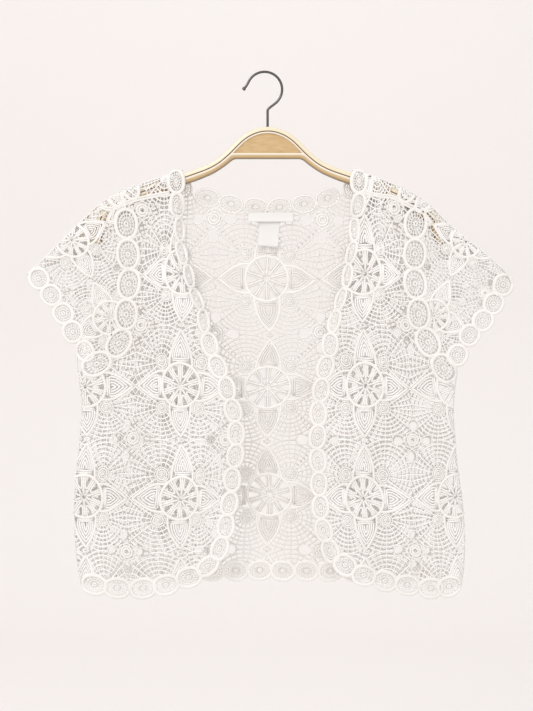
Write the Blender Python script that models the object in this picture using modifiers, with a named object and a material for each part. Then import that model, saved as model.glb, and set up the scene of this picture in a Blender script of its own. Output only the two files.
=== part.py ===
"""A cropped lace cardigan with cap sleeves, hanging on a wooden hanger with a wire hook.

The origin is the inside top of the hook. +X is to the right as seen from the front, +Y points to the back
and +Z is up. The tables and sizes are millimetres, and MM turns them into metres where meshes are made.
The cloth is two layers, front and back, that meet in a rounded fold along the shoulders and the sides.
Each layer is a depth over the front view, so a panel is drawn flat with its gaps and then given its depth.
"""
import math

import bmesh
import bpy
from mathutils import Vector
from mathutils.geometry import delaunay_2d_cdt

MM = 0.001

# Cloth
LACE_THICKNESS = 1.6
SEAM_GAP = 0.6
FOLD_EDGE_Y = 0.75       # half the gap between the middles of the layers along a fold
SHOULDER_HALF_DEPTH = 7.4
BODY_HALF_DEPTH = 13.0
DEPTH_GROWS_OVER = 130.0
FOLD_ROWS = (0.29, 1.0)  # rows of points beside a fold, as shares of the half depth
FOLD_STATION = 22.0
SLOPE_REACH = 4.0
FOLD_ROW_END = 4.0
SEAM_STATION = 22.0
SEAM_FINENESS = 400
GRID_STEP = 34.0
GAP_MARGIN = 2.6         # lace left between a gap and the edge of its panel
GRID_CLEAR_OF_GAP = 5.0
GRID_CLEAR_OF_EDGE = 11.0
MOST_GAPS = 300

# Outline of the front view, each point (x, z)
SHOULDER_LEFT = ((-101.9, -121.5), (-124, -129), (-158, -140.5), (-177, -148), (-205, -164),
                 (-228, -185), (-252, -209), (-281, -238), (-297, -252))
SHOULDER_RIGHT = ((109.4, -121.5), (134, -129), (165, -141), (188, -153), (209, -168),
                  (228, -187), (250, -206), (275, -226), (298, -246), (309, -263))
SIDE_LEFT = ((-234.4, -350), (-233, -374), (-228, -410), (-231, -460), (-236, -510),
             (-237.5, -556), (-235, -600), (-229, -640))
SIDE_RIGHT = ((241, -374), (237.5, -396), (236, -425), (238, -458), (241, -492),
              (247, -535), (250, -580), (249, -615), (246, -640))
CUFF_LEFT = ((-297, -252), (-279, -276), (-263, -298), (-248, -326), (-234.4, -350))
CUFF_RIGHT = ((309, -263), (297, -287), (279, -316), (256, -342), (241, -374))
ARMHOLE_LEFT = ((-173, -146.4), (-172, -188), (-169.5, -225), (-168, -262), (-171, -300),
                (-180, -337), (-204, -361), (-233, -374))
ARMHOLE_RIGHT = ((188, -153), (188, -188), (187, -225), (187, -262), (191, -300),
                 (203, -337), (221, -366), (237.5, -396))
FRONT_EDGE_LEFT = ((-75, -630), (-52, -603), (-40, -565), (-32, -505), (-27, -455), (-35, -405),
                   (-57, -348), (-73, -305), (-92, -250), (-102, -215), (-102.5, -170), (-101.9, -121.5))
FRONT_EDGE_RIGHT = ((82, -612), (69, -585), (62, -545), (59, -495), (58, -455), (61, -405),
                    (72, -348), (84, -305), (98, -262), (106, -220), (110.5, -175), (109.4, -121.5))
HEM_LEFT = ((-229, -640), (-204, -649), (-170, -651), (-140, -651), (-105, -643), (-75, -630))
HEM_RIGHT = ((246, -640), (225, -651), (190, -649), (150, -643), (115, -633), (82, -612))
HEM_BACK = ((-229, -640), (-150, -637), (-60, -634), (8, -634), (80, -634), (165, -637), (246, -640))
NECK_BACK = ((109.4, -121.5), (102, -138), (75, -147), (42, -155), (4, -158), (-34, -155),
             (-67, -147), (-94, -138), (-101.9, -121.5))

# Scallops of the edging, as long as one medallion of its chain
SCALLOP_PITCH = 30.0
SCALLOP_DEPTH = 4.0
EDGE_FINENESS = 8
SCALLOP_SHAPE = ((0.0, 0.0), (0.22, 0.72), (0.5, 1.0), (0.78, 0.72))  # share along, share of the depth

# Soft vertical folds: x of the crest, half width, height towards the viewer, z where it starts and ends
FRONT_FOLDS = ((-196, 26, 3.5, -395, -700), (-140, 24, -3.0, -330, -700), (-78, 22, 3.0, -420, -700),
               (96, 24, 2.6, -430, -700), (150, 26, -3.2, -350, -700), (204, 24, 3.6, -410, -700),
               (-150, 20, 2.4, -200, -330), (160, 22, 2.4, -205, -340))
BACK_FOLDS = ((-170, 30, -3.0, -360, -700), (-92, 28, 3.2, -250, -700), (-10, 30, -3.4, -330, -700),
              (70, 26, 2.8, -260, -700), (150, 30, -3.0, -380, -700))
FOLD_RISE = 65.0         # length over which a fold fades in and out
CALM_WIDTH = 25.0        # width beside the shoulders and sides that stays free of folds

# The front edges roll inwards below the neck: how wide the roll is in the view, how deep, and where
ROLL_WIDTH = 17.0
ROLL_DEPTH = 15.0
ROLL_CURVE = 1.6
ROLL_TOP, ROLL_FULL_TOP, ROLL_FULL_END, ROLL_END = -150.0, -190.0, -290.0, -350.0

# Lace repeat: a spoked wheel in each cell, a small flower with open gaps beside it at each cell corner
WHEEL_HALF_WIDTH = 24.5
WHEEL_HALF_HEIGHT = 26.0
WHEEL_SECTORS = 10
SECTOR_SHAPE = ((0.24, 0.0), (0.56, -10.0), (0.80, -10.5), (0.80, 10.5), (0.56, 10.0))  # radius, degrees
CORNER_GAP_OFFSET = 17.0
CORNER_GAP_SHAPE = ((-6.5, -1.0), (-2.0, -4.2), (4.5, -3.6), (6.5, 1.0), (2.5, 4.2), (-3.5, 3.8))

FRONT_COLUMNS_LEFT = (-222.0, -103.5)
FRONT_COLUMNS_RIGHT = (124.0, 238.0)
BACK_COLUMNS = (-229.0, -121.0, 4.6, 130.0, 240.0)
WHEEL_ROWS = (-256.0, -393.0, -530.0)
CORNER_ROWS = (-182.0, -325.0, -461.0, -598.0)
BACK_CORNER_COLUMNS = (-176.0, -59.0, 68.0, 185.0)
FRONT_CORNERS_LEFT = ((-150, -171), (-154, -316), (-164, -458), (-170, -595))
FRONT_CORNERS_RIGHT = ((162, -171), (176, -313), (183, -453), (187, -594))
SLEEVE_WHEELS_LEFT = ((-243, -213), (-206, -306))
SLEEVE_WHEELS_RIGHT = ((255, -222), (220, -306))

# Labels on the inner face of the back
NECK_LABEL = (-21.0, 37.0, -185.4, -173.5)   # x from, x to, z from, z to
CARE_LABEL = (-6.2, 19.4, -216.5, -186.0)
LABEL_THICKNESS = 0.6
LABEL_STEPS = (4, 3)
LABEL_GAP = 0.3

# Hanger
HOOK_WIRE_RADIUS = 1.6
HOOK_INNER_RADIUS = 20.4
HOOK_NECK_DEGREES = -42.0
HOOK_TIP_DEGREES = 155.0
HOOK_TIP = (-26.9, -20.6)
HOOK_TIP_WAY = (-9.0, -6.0)
HOOK_RING_STEPS = 22
HOOK_BEND_STEPS = 7
HOOK_TIP_STEPS = 4
HOOK_BEND_PULL = 20.0
HOOK_TIP_PULL = 9.0
HOOK_SHANK_PULL = 10.0
HOOK_SHANK_X = 3.9
HOOK_SHANK_TOP = -47.0
HOOK_SHANK_END = -67.2
HANGER_EDGE = 2.5        # rounding of the wooden edges
HANGER_HALF_THICKNESS = 5.6
PANEL_HALF_THICKNESS = 4.0
PANEL_EDGE = 1.0
PANEL_GAP = 0.4
ARM_BELOW_FOLD = 4.2
ARM_DEPTH = 14.5
ARM_BENDS = (-165.0, 172.0)     # x where the arms leave the fold to turn down inside the sleeves
ARM_END_LEFT = ((-175, -151.8), (-188, -158.4), (-199, -166.8), (-207.5, -177), (-213, -188),
                (-216, -200), (-217, -211), (-215.6, -218.8), (-211.8, -221.8), (-207, -221),
                (-203.8, -217), (-202, -208), (-198.5, -197.5), (-192.5, -187.2), (-185, -178.5),
                (-176, -171), (-166.5, -165.2))
ARM_END_RIGHT = ((176, -167.6), (186.5, -174.8), (195.5, -183), (202.5, -192), (208, -202),
                 (211.5, -211), (213.5, -218), (217, -221.8), (222, -222.4), (225.8, -219.5),
                 (227.3, -212), (226, -203), (222, -192), (215.5, -181.5), (207, -172.5),
                 (197, -164.3), (186, -156.9))
HANGER_TOP = ((107, -124.6), (94, -120.2), (81, -115.2), (70, -109.3), (61, -102.4), (53, -95.0),
              (46, -87.8), (39, -81.2), (32, -76.0), (24, -71.8), (14, -68.6), (4, -67.6), (-6, -68.6),
              (-16, -71.8), (-24, -76.0), (-31, -81.2), (-38, -87.8), (-45, -95.0), (-53, -102.4),
              (-62, -109.3), (-73, -115.2), (-86, -120.2), (-99, -124.6))
HANGER_UNDER = ((-99, -139.4), (-86, -135.2), (-74, -130.4), (-64, -125.9), (-56, -121.0),
                (-49, -116.2), (-44, -112.2), (-40, -109.0), (-36, -107.6), (44, -107.6), (48, -109.0),
                (52, -112.2), (57, -116.2), (64, -121.0), (72, -125.9), (82, -130.4), (94, -135.2),
                (107, -139.4))
PANEL_CENTRE_X = 4.8
PANEL_TOP, PANEL_FOOT = -76.0, -100.6
PANEL_HALF_WIDTH = 43.6
ARC_STEPS = 12


def clear_scene():
    for old in list(bpy.data.objects):
        bpy.data.objects.remove(old, do_unlink=True)


def new_collection(name):
    collection = bpy.data.collections.new(name)
    bpy.context.scene.collection.children.link(collection)
    return collection


def new_material(name, colour, roughness, metallic=0.0):
    material = bpy.data.materials.new(name)
    material.use_nodes = True
    shader = material.node_tree.nodes["Principled BSDF"]
    shader.inputs["Base Color"].default_value = (*colour, 1.0)
    shader.inputs["Roughness"].default_value = roughness
    shader.inputs["Metallic"].default_value = metallic
    material.diffuse_color = (*colour, 1.0)
    return material


def smooth_step(value):
    value = min(1.0, max(0.0, value))
    return value * value * (3.0 - 2.0 * value)


def slope_at(table, index, key, out):
    low, high = max(index - 1, 0), min(index + 1, len(table) - 1)
    return (table[high][out] - table[low][out]) / (table[high][key] - table[low][key])


def read_table(table, value, key, out):
    """A smooth curve through the table's rows, read at one value of its key column."""
    if table[0][key] > table[-1][key]:
        table = table[::-1]
    value = min(max(value, table[0][key]), table[-1][key])
    index = 0
    while index < len(table) - 2 and value > table[index + 1][key]:
        index += 1
    start, end = table[index], table[index + 1]
    span = end[key] - start[key]
    t = (value - start[key]) / span
    rise_start = slope_at(table, index, key, out) * span
    rise_end = slope_at(table, index + 1, key, out) * span
    return ((2 * t**3 - 3 * t**2 + 1) * start[out] + (t**3 - 2 * t**2 + t) * rise_start
            + (3 * t**2 - 2 * t**3) * end[out] + (t**3 - t**2) * rise_end)


def shoulder_z(x):
    if x < SHOULDER_LEFT[0][0]:
        return read_table(SHOULDER_LEFT, x, 0, 1)
    if x > SHOULDER_RIGHT[0][0]:
        return read_table(SHOULDER_RIGHT, x, 0, 1)
    return SHOULDER_LEFT[0][1]


def shoulder_distance(x, z):
    """How far a point lies from the shoulder fold, measured across the fold."""
    slope = (shoulder_z(x + SLOPE_REACH) - shoulder_z(x - SLOPE_REACH)) / (2 * SLOPE_REACH)
    return max(0.0, shoulder_z(x) - z) / math.sqrt(1 + slope * slope)


def side_distance(x, z):
    """How far a point lies from the fold at the side below the cuff, 0 on it."""
    side = SIDE_LEFT if x < 0 else SIDE_RIGHT
    fold_x = read_table(side, z, 1, 0)
    return math.hypot(max(0.0, abs(fold_x) - abs(x)), max(0.0, z - side[0][1]))


def round_over(distance, radius):
    """Depth of a rounded fold: 0 on the fold, 1 from its radius inwards."""
    inner = max(0.0, 1.0 - distance / radius)
    return math.sqrt(max(0.0, 1.0 - inner * inner))


def half_depth(x, z):
    below = shoulder_distance(x, z) - 2 * SHOULDER_HALF_DEPTH
    grown = smooth_step(below / DEPTH_GROWS_OVER)
    return SHOULDER_HALF_DEPTH + (BODY_HALF_DEPTH - SHOULDER_HALF_DEPTH) * grown


def fold_height(folds, x, z):
    height = 0.0
    for crest_x, half_width, crest, start_z, end_z in folds:
        across = abs(x - crest_x) / half_width
        if across < 1.0:
            along = smooth_step((start_z - z) / FOLD_RISE) * smooth_step((z - end_z) / FOLD_RISE)
            height += crest * along * (0.5 + 0.5 * math.cos(math.pi * across))
    return height


def roll_height(x, z):
    """How far the front edge has rolled towards the back at a point of the front layer."""
    edge = FRONT_EDGE_LEFT if x < 0 else FRONT_EDGE_RIGHT
    edge_x = read_table(edge, z, 1, 0)
    inside = max(0.0, abs(x) - abs(edge_x)) if x * edge_x > 0 else 0.0
    strength = (smooth_step((ROLL_TOP - z) / (ROLL_TOP - ROLL_FULL_TOP))
                * smooth_step((z - ROLL_END) / (ROLL_FULL_END - ROLL_END)))
    return ROLL_DEPTH * strength * max(0.0, 1.0 - inside / ROLL_WIDTH) ** ROLL_CURVE


def cloth_y(x, z, layer):
    """Depth of the middle of the cloth: layer is -1 for the front layer and 1 for the back layer."""
    depth = half_depth(x, z)
    from_shoulder, from_side = shoulder_distance(x, z), side_distance(x, z)
    rounding = round_over(from_shoulder, depth) * round_over(from_side, depth)
    calm = smooth_step((from_shoulder - depth) / CALM_WIDTH) * smooth_step((from_side - depth) / CALM_WIDTH)
    lift = fold_height(FRONT_FOLDS if layer < 0 else BACK_FOLDS, x, z) * calm
    y = layer * (FOLD_EDGE_Y + (depth - FOLD_EDGE_Y) * rounding) - lift
    return y + roll_height(x, z) if layer < 0 else y


def resampled(points, count):
    """The polyline's points spread evenly, count steps from its start to its end."""
    lengths = [0.0]
    for a, b in zip(points, points[1:]):
        lengths.append(lengths[-1] + math.dist(a, b))
    result = []
    segment = 0
    for step in range(count + 1):
        target = lengths[-1] * step / count
        while segment < len(points) - 2 and lengths[segment + 1] < target:
            segment += 1
        share = (target - lengths[segment]) / (lengths[segment + 1] - lengths[segment])
        a, b = points[segment], points[segment + 1]
        result.append((a[0] + (b[0] - a[0]) * share, a[1] + (b[1] - a[1]) * share))
    return result


def curved(rows, steps=8):
    """A smooth curve through the rows, as a fine polyline."""
    points = []
    for index in range(len(rows) - 1):
        before, start = rows[max(index - 1, 0)], rows[index]
        end, after = rows[index + 1], rows[min(index + 2, len(rows) - 1)]
        for step in range(steps):
            t = step / steps
            points.append(tuple(
                0.5 * (2 * start[k] + (end[k] - before[k]) * t
                       + (2 * before[k] - 5 * start[k] + 4 * end[k] - after[k]) * t**2
                       + (3 * start[k] - before[k] - 3 * end[k] + after[k]) * t**3)
                for k in (0, 1)))
    points.append(tuple(rows[-1]))
    return points


def length_of(points):
    return sum(math.dist(a, b) for a, b in zip(points, points[1:]))


def beside_fold(on_fold, neighbour):
    """The point of an edge where it passes the first row of points beside a fold."""
    share = FOLD_ROWS[0] * half_depth(*on_fold) / math.dist(on_fold, neighbour)
    return tuple(a + (b - a) * share for a, b in zip(on_fold, neighbour))


def scalloped(rows, starts_on_fold=False, ends_on_fold=False):
    """An edge made of round scallops that bulge to the right of its direction, without its last point."""
    path = curved(rows)
    count = max(1, round(length_of(path) / SCALLOP_PITCH))
    fine = resampled(path, count * EDGE_FINENESS)
    edge = []
    for scallop in range(count):
        for along, bulge in SCALLOP_SHAPE:
            place = (scallop + along) * EDGE_FINENESS
            index = min(int(place), len(fine) - 2)
            share = place - index
            (ax, az), (bx, bz) = fine[index], fine[index + 1]
            step = math.dist((ax, az), (bx, bz))
            out_x, out_z = (bz - az) / step, -(bx - ax) / step
            edge.append((ax + (bx - ax) * share + out_x * bulge * SCALLOP_DEPTH,
                         az + (bz - az) * share + out_z * bulge * SCALLOP_DEPTH))
    if ends_on_fold:
        edge.append(beside_fold(rows[-1], edge[-1]))
    if starts_on_fold:
        edge.insert(1, beside_fold(edge[0], edge[1]))
    return edge


def beside(points, distance):
    """The polyline moved to the right of its direction."""
    moved = []
    for index, (x, z) in enumerate(points):
        a, b = points[max(index - 1, 0)], points[min(index + 1, len(points) - 1)]
        step = math.dist(a, b)
        moved.append((x + (b[1] - a[1]) / step * distance, z - (b[0] - a[0]) / step * distance))
    return moved


def inside_polygon(point, polygon):
    x, z = point
    inside = False
    for (ax, az), (bx, bz) in zip(polygon, polygon[1:] + polygon[:1]):
        if (az > z) != (bz > z) and x < ax + (z - az) * (bx - ax) / (bz - az):
            inside = not inside
    return inside


def distance_to_polygon(point, polygon):
    nearest = math.inf
    for a, b in zip(polygon, polygon[1:] + polygon[:1]):
        run = (b[0] - a[0], b[1] - a[1])
        square = run[0] ** 2 + run[1] ** 2 or 1e-9
        t = min(1.0, max(0.0, ((point[0] - a[0]) * run[0] + (point[1] - a[1]) * run[1]) / square))
        nearest = min(nearest, math.dist(point, (a[0] + t * run[0], a[1] + t * run[1])))
    return nearest


def wheel_gaps(centre):
    """The open sectors between the spokes of one lace wheel."""
    gaps = []
    for sector in range(WHEEL_SECTORS):
        middle = math.radians(360 / WHEEL_SECTORS * (sector + 0.5))
        gaps.append([(centre[0] + WHEEL_HALF_WIDTH * radius * math.cos(middle + math.radians(turn)),
                      centre[1] + WHEEL_HALF_HEIGHT * radius * math.sin(middle + math.radians(turn)))
                     for radius, turn in SECTOR_SHAPE])
    return gaps


def corner_gaps(centre):
    """The two large gaps to the left and right of the small flower at a cell corner."""
    return [[(centre[0] + side * (CORNER_GAP_OFFSET + x), centre[1] + z) for x, z in CORNER_GAP_SHAPE][::side]
            for side in (-1, 1)]


gaps_cut = 0


def fitting_gaps(candidates, outline):
    """The gaps that lie whole inside the outline, until the garment has its number of gaps."""
    global gaps_cut
    kept = []
    for gap in candidates:
        fits = all(inside_polygon(p, outline) and distance_to_polygon(p, outline) > GAP_MARGIN for p in gap)
        if fits and gaps_cut < MOST_GAPS:
            kept.append(gap)
            gaps_cut += 1
    return kept


def fold_rows(fold):
    """Rows of points beside a fold, on the left of its direction, which give it its round section."""
    path = resampled(fold, max(2, round(length_of(fold) / FOLD_STATION)))
    path[0] = resampled(fold, round(length_of(fold) / FOLD_ROW_END))[1]
    path[-1] = resampled(fold, round(length_of(fold) / FOLD_ROW_END))[-2]
    inward = beside(path, -1.0)
    return [[(x + (to_x - x) * share * half_depth(x, z), z + (to_z - z) * share * half_depth(x, z))
             for (x, z), (to_x, to_z) in zip(path, inward)] for share in FOLD_ROWS]


def build_panel(name, collection, material, outline, gaps, rows, layer):
    """A wall of lace: the outline with its gaps, triangulated flat, given its depth and then its thickness."""
    points, edges, faces = [], [], []

    def add_loop(loop):
        first = len(points)
        points.extend(loop)
        faces.append(list(range(first, first + len(loop))))

    add_loop(outline)
    for gap in gaps:
        add_loop(gap)
    for row in rows:
        first = len(points)
        points.extend(row)
        edges.extend((first + i, first + i + 1) for i in range(len(row) - 1))
    low_x, high_x = min(p[0] for p in outline), max(p[0] for p in outline)
    low_z, high_z = min(p[1] for p in outline), max(p[1] for p in outline)
    row_points = [p for row in rows for p in row]
    for column in range(int((high_x - low_x) / GRID_STEP) + 1):
        for line in range(int((high_z - low_z) / GRID_STEP) + 1):
            spot = (low_x + (column + 0.5 * (line % 2)) * GRID_STEP, low_z + line * GRID_STEP)
            in_cloth = inside_polygon(spot, outline) and distance_to_polygon(spot, outline) > GRID_CLEAR_OF_EDGE
            in_gap = any(inside_polygon(spot, gap) or distance_to_polygon(spot, gap) < GRID_CLEAR_OF_GAP
                         for gap in gaps)
            if in_cloth and not in_gap and all(math.dist(spot, p) > GRID_CLEAR_OF_EDGE for p in row_points):
                points.append(spot)
    flat, _, triangles, _, _, source_faces = delaunay_2d_cdt(
        [Vector(p) for p in points], edges, faces, 1, 1e-4)
    mesh = bmesh.new()
    corners = [mesh.verts.new((x * MM, cloth_y(x, z, layer) * MM, z * MM)) for x, z in flat]
    for triangle, sources in zip(triangles, source_faces):
        if list(sources) == [0]:
            order = triangle if layer > 0 else triangle[::-1]
            mesh.faces.new([corners[i] for i in order])
    bmesh.ops.delete(mesh, geom=[v for v in mesh.verts if not v.link_faces], context="VERTS")
    bmesh.ops.recalc_face_normals(mesh, faces=mesh.faces)
    data = bpy.data.meshes.new(name)
    mesh.to_mesh(data)
    mesh.free()
    panel = bpy.data.objects.new(name, data)
    collection.objects.link(panel)
    data.materials.append(material)
    data.shade_smooth()
    wall = panel.modifiers.new("Lace thickness", "SOLIDIFY")
    wall.thickness = LACE_THICKNESS * MM
    wall.offset = 0.0
    return panel


def shoulder_part(start_x, end_x):
    """The shoulder fold between two places, both ends included."""
    count = max(2, round(abs(end_x - start_x) / FOLD_STATION))
    places = [start_x + (end_x - start_x) * i / count for i in range(count + 1)]
    return [(x, shoulder_z(x)) for x in places]


def side_part(side, start_z, end_z):
    """The side fold between two heights, both ends included."""
    count = max(1, round(abs(end_z - start_z) / FOLD_STATION))
    heights = [start_z + (end_z - start_z) * i / count for i in range(count + 1)]
    return [(read_table(side, z, 1, 0), z) for z in heights]


def armhole_seam(armhole):
    """The armhole from shoulder to side, with points that follow the round folds at its ends."""
    start_x, (end_x, end_z) = armhole[0][0], armhole[-1]
    side = SIDE_LEFT if start_x < 0 else SIDE_RIGHT
    rows = ((start_x, shoulder_z(start_x)), *armhole[1:-1], (read_table(side, end_z, 1, 0), end_z))
    fine = resampled(curved(rows), SEAM_FINENESS)
    total = length_of(fine)
    near_top = [share * SHOULDER_HALF_DEPTH for share in (0.0, *FOLD_ROWS)]
    near_side = [total - share * BODY_HALF_DEPTH for share in (*FOLD_ROWS[::-1], 0.0)]
    count = round((near_side[0] - near_top[-1]) / SEAM_STATION)
    between = [near_top[-1] + (near_side[0] - near_top[-1]) * i / count for i in range(1, count)]
    return [fine[round(place / total * SEAM_FINENESS)] for place in near_top + between + near_side]


def build_cloth(collection):
    lace = new_material("Cotton lace", (0.90, 0.88, 0.84), 0.9)
    seam_left, seam_right = armhole_seam(ARMHOLE_LEFT), armhole_seam(ARMHOLE_RIGHT)
    body_left, sleeve_left = beside(seam_left, -SEAM_GAP / 2), beside(seam_left, SEAM_GAP / 2)
    body_right, sleeve_right = beside(seam_right, SEAM_GAP / 2), beside(seam_right, -SEAM_GAP / 2)

    shoulder_left = shoulder_part(SHOULDER_LEFT[0][0], body_left[0][0])
    shoulder_right = shoulder_part(body_right[0][0], SHOULDER_RIGHT[0][0])
    side_left = side_part(SIDE_LEFT, body_left[-1][1], SIDE_LEFT[-1][1])
    side_right = side_part(SIDE_RIGHT, SIDE_RIGHT[-1][1], body_right[-1][1])

    front_left = (scalloped(HEM_LEFT, True) + scalloped(FRONT_EDGE_LEFT, False, True)
                  + shoulder_left[:-1] + body_left[:-1] + side_left[:-1])
    front_right = (scalloped(FRONT_EDGE_RIGHT[::-1], True) + scalloped(HEM_RIGHT[::-1], False, True)
                   + side_right[:-1] + body_right[:0:-1] + shoulder_right[:-1])
    back = (scalloped(NECK_BACK, True, True) + shoulder_left[:-1] + body_left[:-1] + side_left[:-1]
            + scalloped(HEM_BACK, True, True) + side_right[:-1] + body_right[:0:-1] + shoulder_right[:-1])

    sleeve_top_left = shoulder_part(sleeve_left[0][0], SHOULDER_LEFT[-1][0])
    sleeve_under_left = side_part(SIDE_LEFT, SIDE_LEFT[0][1], sleeve_left[-1][1])
    cap_left = (sleeve_top_left[:-1] + scalloped(CUFF_LEFT, True, True) + sleeve_under_left[:-1]
                + sleeve_left[:0:-1])
    sleeve_top_right = shoulder_part(SHOULDER_RIGHT[-1][0], sleeve_right[0][0])
    sleeve_under_right = side_part(SIDE_RIGHT, sleeve_right[-1][1], SIDE_RIGHT[0][1])
    cap_right = (sleeve_under_right[:-1] + scalloped(CUFF_RIGHT[::-1], True, True)
                 + sleeve_top_right[:-1] + sleeve_right[:-1])

    body_rows_left = fold_rows(shoulder_left) + fold_rows(side_left)
    body_rows_right = fold_rows(shoulder_right) + fold_rows(side_right)
    cap_rows_left = fold_rows(sleeve_top_left) + fold_rows(sleeve_under_left)
    cap_rows_right = fold_rows(sleeve_top_right) + fold_rows(sleeve_under_right)
    panels = (
        ("front_left", front_left, body_rows_left, -1, FRONT_COLUMNS_LEFT, FRONT_CORNERS_LEFT),
        ("front_right", front_right, body_rows_right, -1, FRONT_COLUMNS_RIGHT, FRONT_CORNERS_RIGHT),
        ("back", back, body_rows_left + body_rows_right, 1, BACK_COLUMNS,
         [(x, z) for z in CORNER_ROWS for x in BACK_CORNER_COLUMNS]),
        ("sleeve_left_front", cap_left, cap_rows_left, -1, (), ()),
        ("sleeve_right_front", cap_right, cap_rows_right, -1, (), ()),
        ("sleeve_left_back", cap_left, cap_rows_left, 1, (), ()),
        ("sleeve_right_back", cap_right, cap_rows_right, 1, (), ()),
    )
    for name, outline, rows, layer, columns, corners in panels:
        wheels = [(x, z) for z in WHEEL_ROWS for x in columns]
        if name.startswith("sleeve"):
            wheels = SLEEVE_WHEELS_LEFT if "left" in name else SLEEVE_WHEELS_RIGHT
        gaps = [gap for wheel in wheels for gap in wheel_gaps(wheel)]
        gaps += [gap for corner in corners for gap in corner_gaps(corner)]
        build_panel(name, collection, lace, outline, fitting_gaps(gaps, outline), rows, layer)


def build_label(name, collection, material, place):
    """A tape that follows the inner face of the back."""
    from_x, to_x, from_z, to_z = place
    columns, lines = LABEL_STEPS
    off_cloth = LACE_THICKNESS / 2 + LABEL_GAP + LABEL_THICKNESS / 2
    mesh = bmesh.new()
    bmesh.ops.create_grid(mesh, x_segments=columns, y_segments=lines, size=0.5)
    for corner in mesh.verts:
        x = from_x + (to_x - from_x) * (corner.co.x + 0.5)
        z = from_z + (to_z - from_z) * (corner.co.y + 0.5)
        corner.co = Vector((x, cloth_y(x, z, 1) - off_cloth, z)) * MM
    data = bpy.data.meshes.new(name)
    mesh.to_mesh(data)
    mesh.free()
    label = bpy.data.objects.new(name, data)
    collection.objects.link(label)
    data.materials.append(material)
    tape = label.modifiers.new("Tape thickness", "SOLIDIFY")
    tape.thickness = LABEL_THICKNESS * MM
    tape.offset = 0.0


def build_labels(collection):
    satin = new_material("White satin tape", (0.92, 0.91, 0.90), 0.5)
    build_label("neck_label", collection, satin, NECK_LABEL)
    build_label("care_label", collection, satin, CARE_LABEL)


def rounded_plate(name, collection, material, loops, half_thickness, edge):
    """A plate seen from the front: closed loops of (x, z), filled, extruded along Y, with rounded edges."""
    curve = bpy.data.curves.new(name, "CURVE")
    curve.dimensions = "2D"
    curve.fill_mode = "BOTH"
    curve.extrude = (half_thickness - edge) * MM
    curve.bevel_depth = edge * MM
    curve.bevel_resolution = 1
    curve.offset = -edge * MM
    curve.materials.append(material)
    for loop in loops:
        spline = curve.splines.new("POLY")
        spline.points.add(len(loop) - 1)
        for point, (x, z) in zip(spline.points, loop):
            point.co = (x * MM, z * MM, 0.0, 1.0)
        spline.use_cyclic_u = True
    plate = bpy.data.objects.new(name, curve)
    collection.objects.link(plate)
    plate.rotation_euler = (math.pi / 2, 0.0, 0.0)


def half_moon(spread):
    """The inlay's outline: an arc over a straight foot, grown on all sides by spread."""
    height = PANEL_TOP - PANEL_FOOT
    radius = (PANEL_HALF_WIDTH**2 + height**2) / (2 * height)
    centre_z = PANEL_TOP - radius
    grown = radius + spread
    foot = PANEL_FOOT - spread
    reach = math.asin((foot - centre_z) / grown)
    return [(PANEL_CENTRE_X + grown * math.cos(a), centre_z + grown * math.sin(a))
            for a in (reach + (math.pi - 2 * reach) * i / ARC_STEPS for i in range(ARC_STEPS + 1))]


def hanger_arm(neck_x, end_x, below):
    """Points along an arm of the hanger, a set distance below the shoulder fold."""
    count = round(abs(end_x - neck_x) / FOLD_STATION)
    places = [neck_x + (end_x - neck_x) * i / count for i in range(1, count + 1)]
    line = [(x, shoulder_z(x)) for x in places]
    return beside(line, below if end_x > neck_x else -below)


def build_hanger(collection):
    maple = new_material("Lacquered maple", (0.78, 0.62, 0.42), 0.35)
    pale = new_material("Pale maple inlay", (0.80, 0.66, 0.47), 0.4)
    neck_left, neck_right = SHOULDER_LEFT[0][0], SHOULDER_RIGHT[0][0]
    bend_left, bend_right = ARM_BENDS
    top_left = hanger_arm(neck_left, bend_left, ARM_BELOW_FOLD)
    top_right = hanger_arm(neck_right, bend_right, ARM_BELOW_FOLD)
    under_left = hanger_arm(neck_left, bend_left, ARM_BELOW_FOLD + ARM_DEPTH)
    under_right = hanger_arm(neck_right, bend_right, ARM_BELOW_FOLD + ARM_DEPTH)
    outline = (top_right[::-1] + list(HANGER_TOP) + top_left + list(ARM_END_LEFT)
               + under_left[::-1] + list(HANGER_UNDER) + under_right + list(ARM_END_RIGHT))
    rounded_plate("hanger_body", collection, maple, (outline, half_moon(PANEL_GAP)[::-1]),
                  HANGER_HALF_THICKNESS, HANGER_EDGE)
    rounded_plate("hanger_panel", collection, pale, (half_moon(0.0),), PANEL_HALF_THICKNESS, PANEL_EDGE)


def eased(start, start_way, end, end_way, steps):
    """A smooth bend from one point and direction to another."""
    points = []
    for step in range(1, steps + 1):
        t = step / steps
        weights = (2 * t**3 - 3 * t**2 + 1, t**3 - 2 * t**2 + t, 3 * t**2 - 2 * t**3, t**3 - t**2)
        points.append(tuple(weights[0] * start[k] + weights[1] * start_way[k]
                            + weights[2] * end[k] + weights[3] * end_way[k] for k in (0, 1)))
    return points


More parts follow.
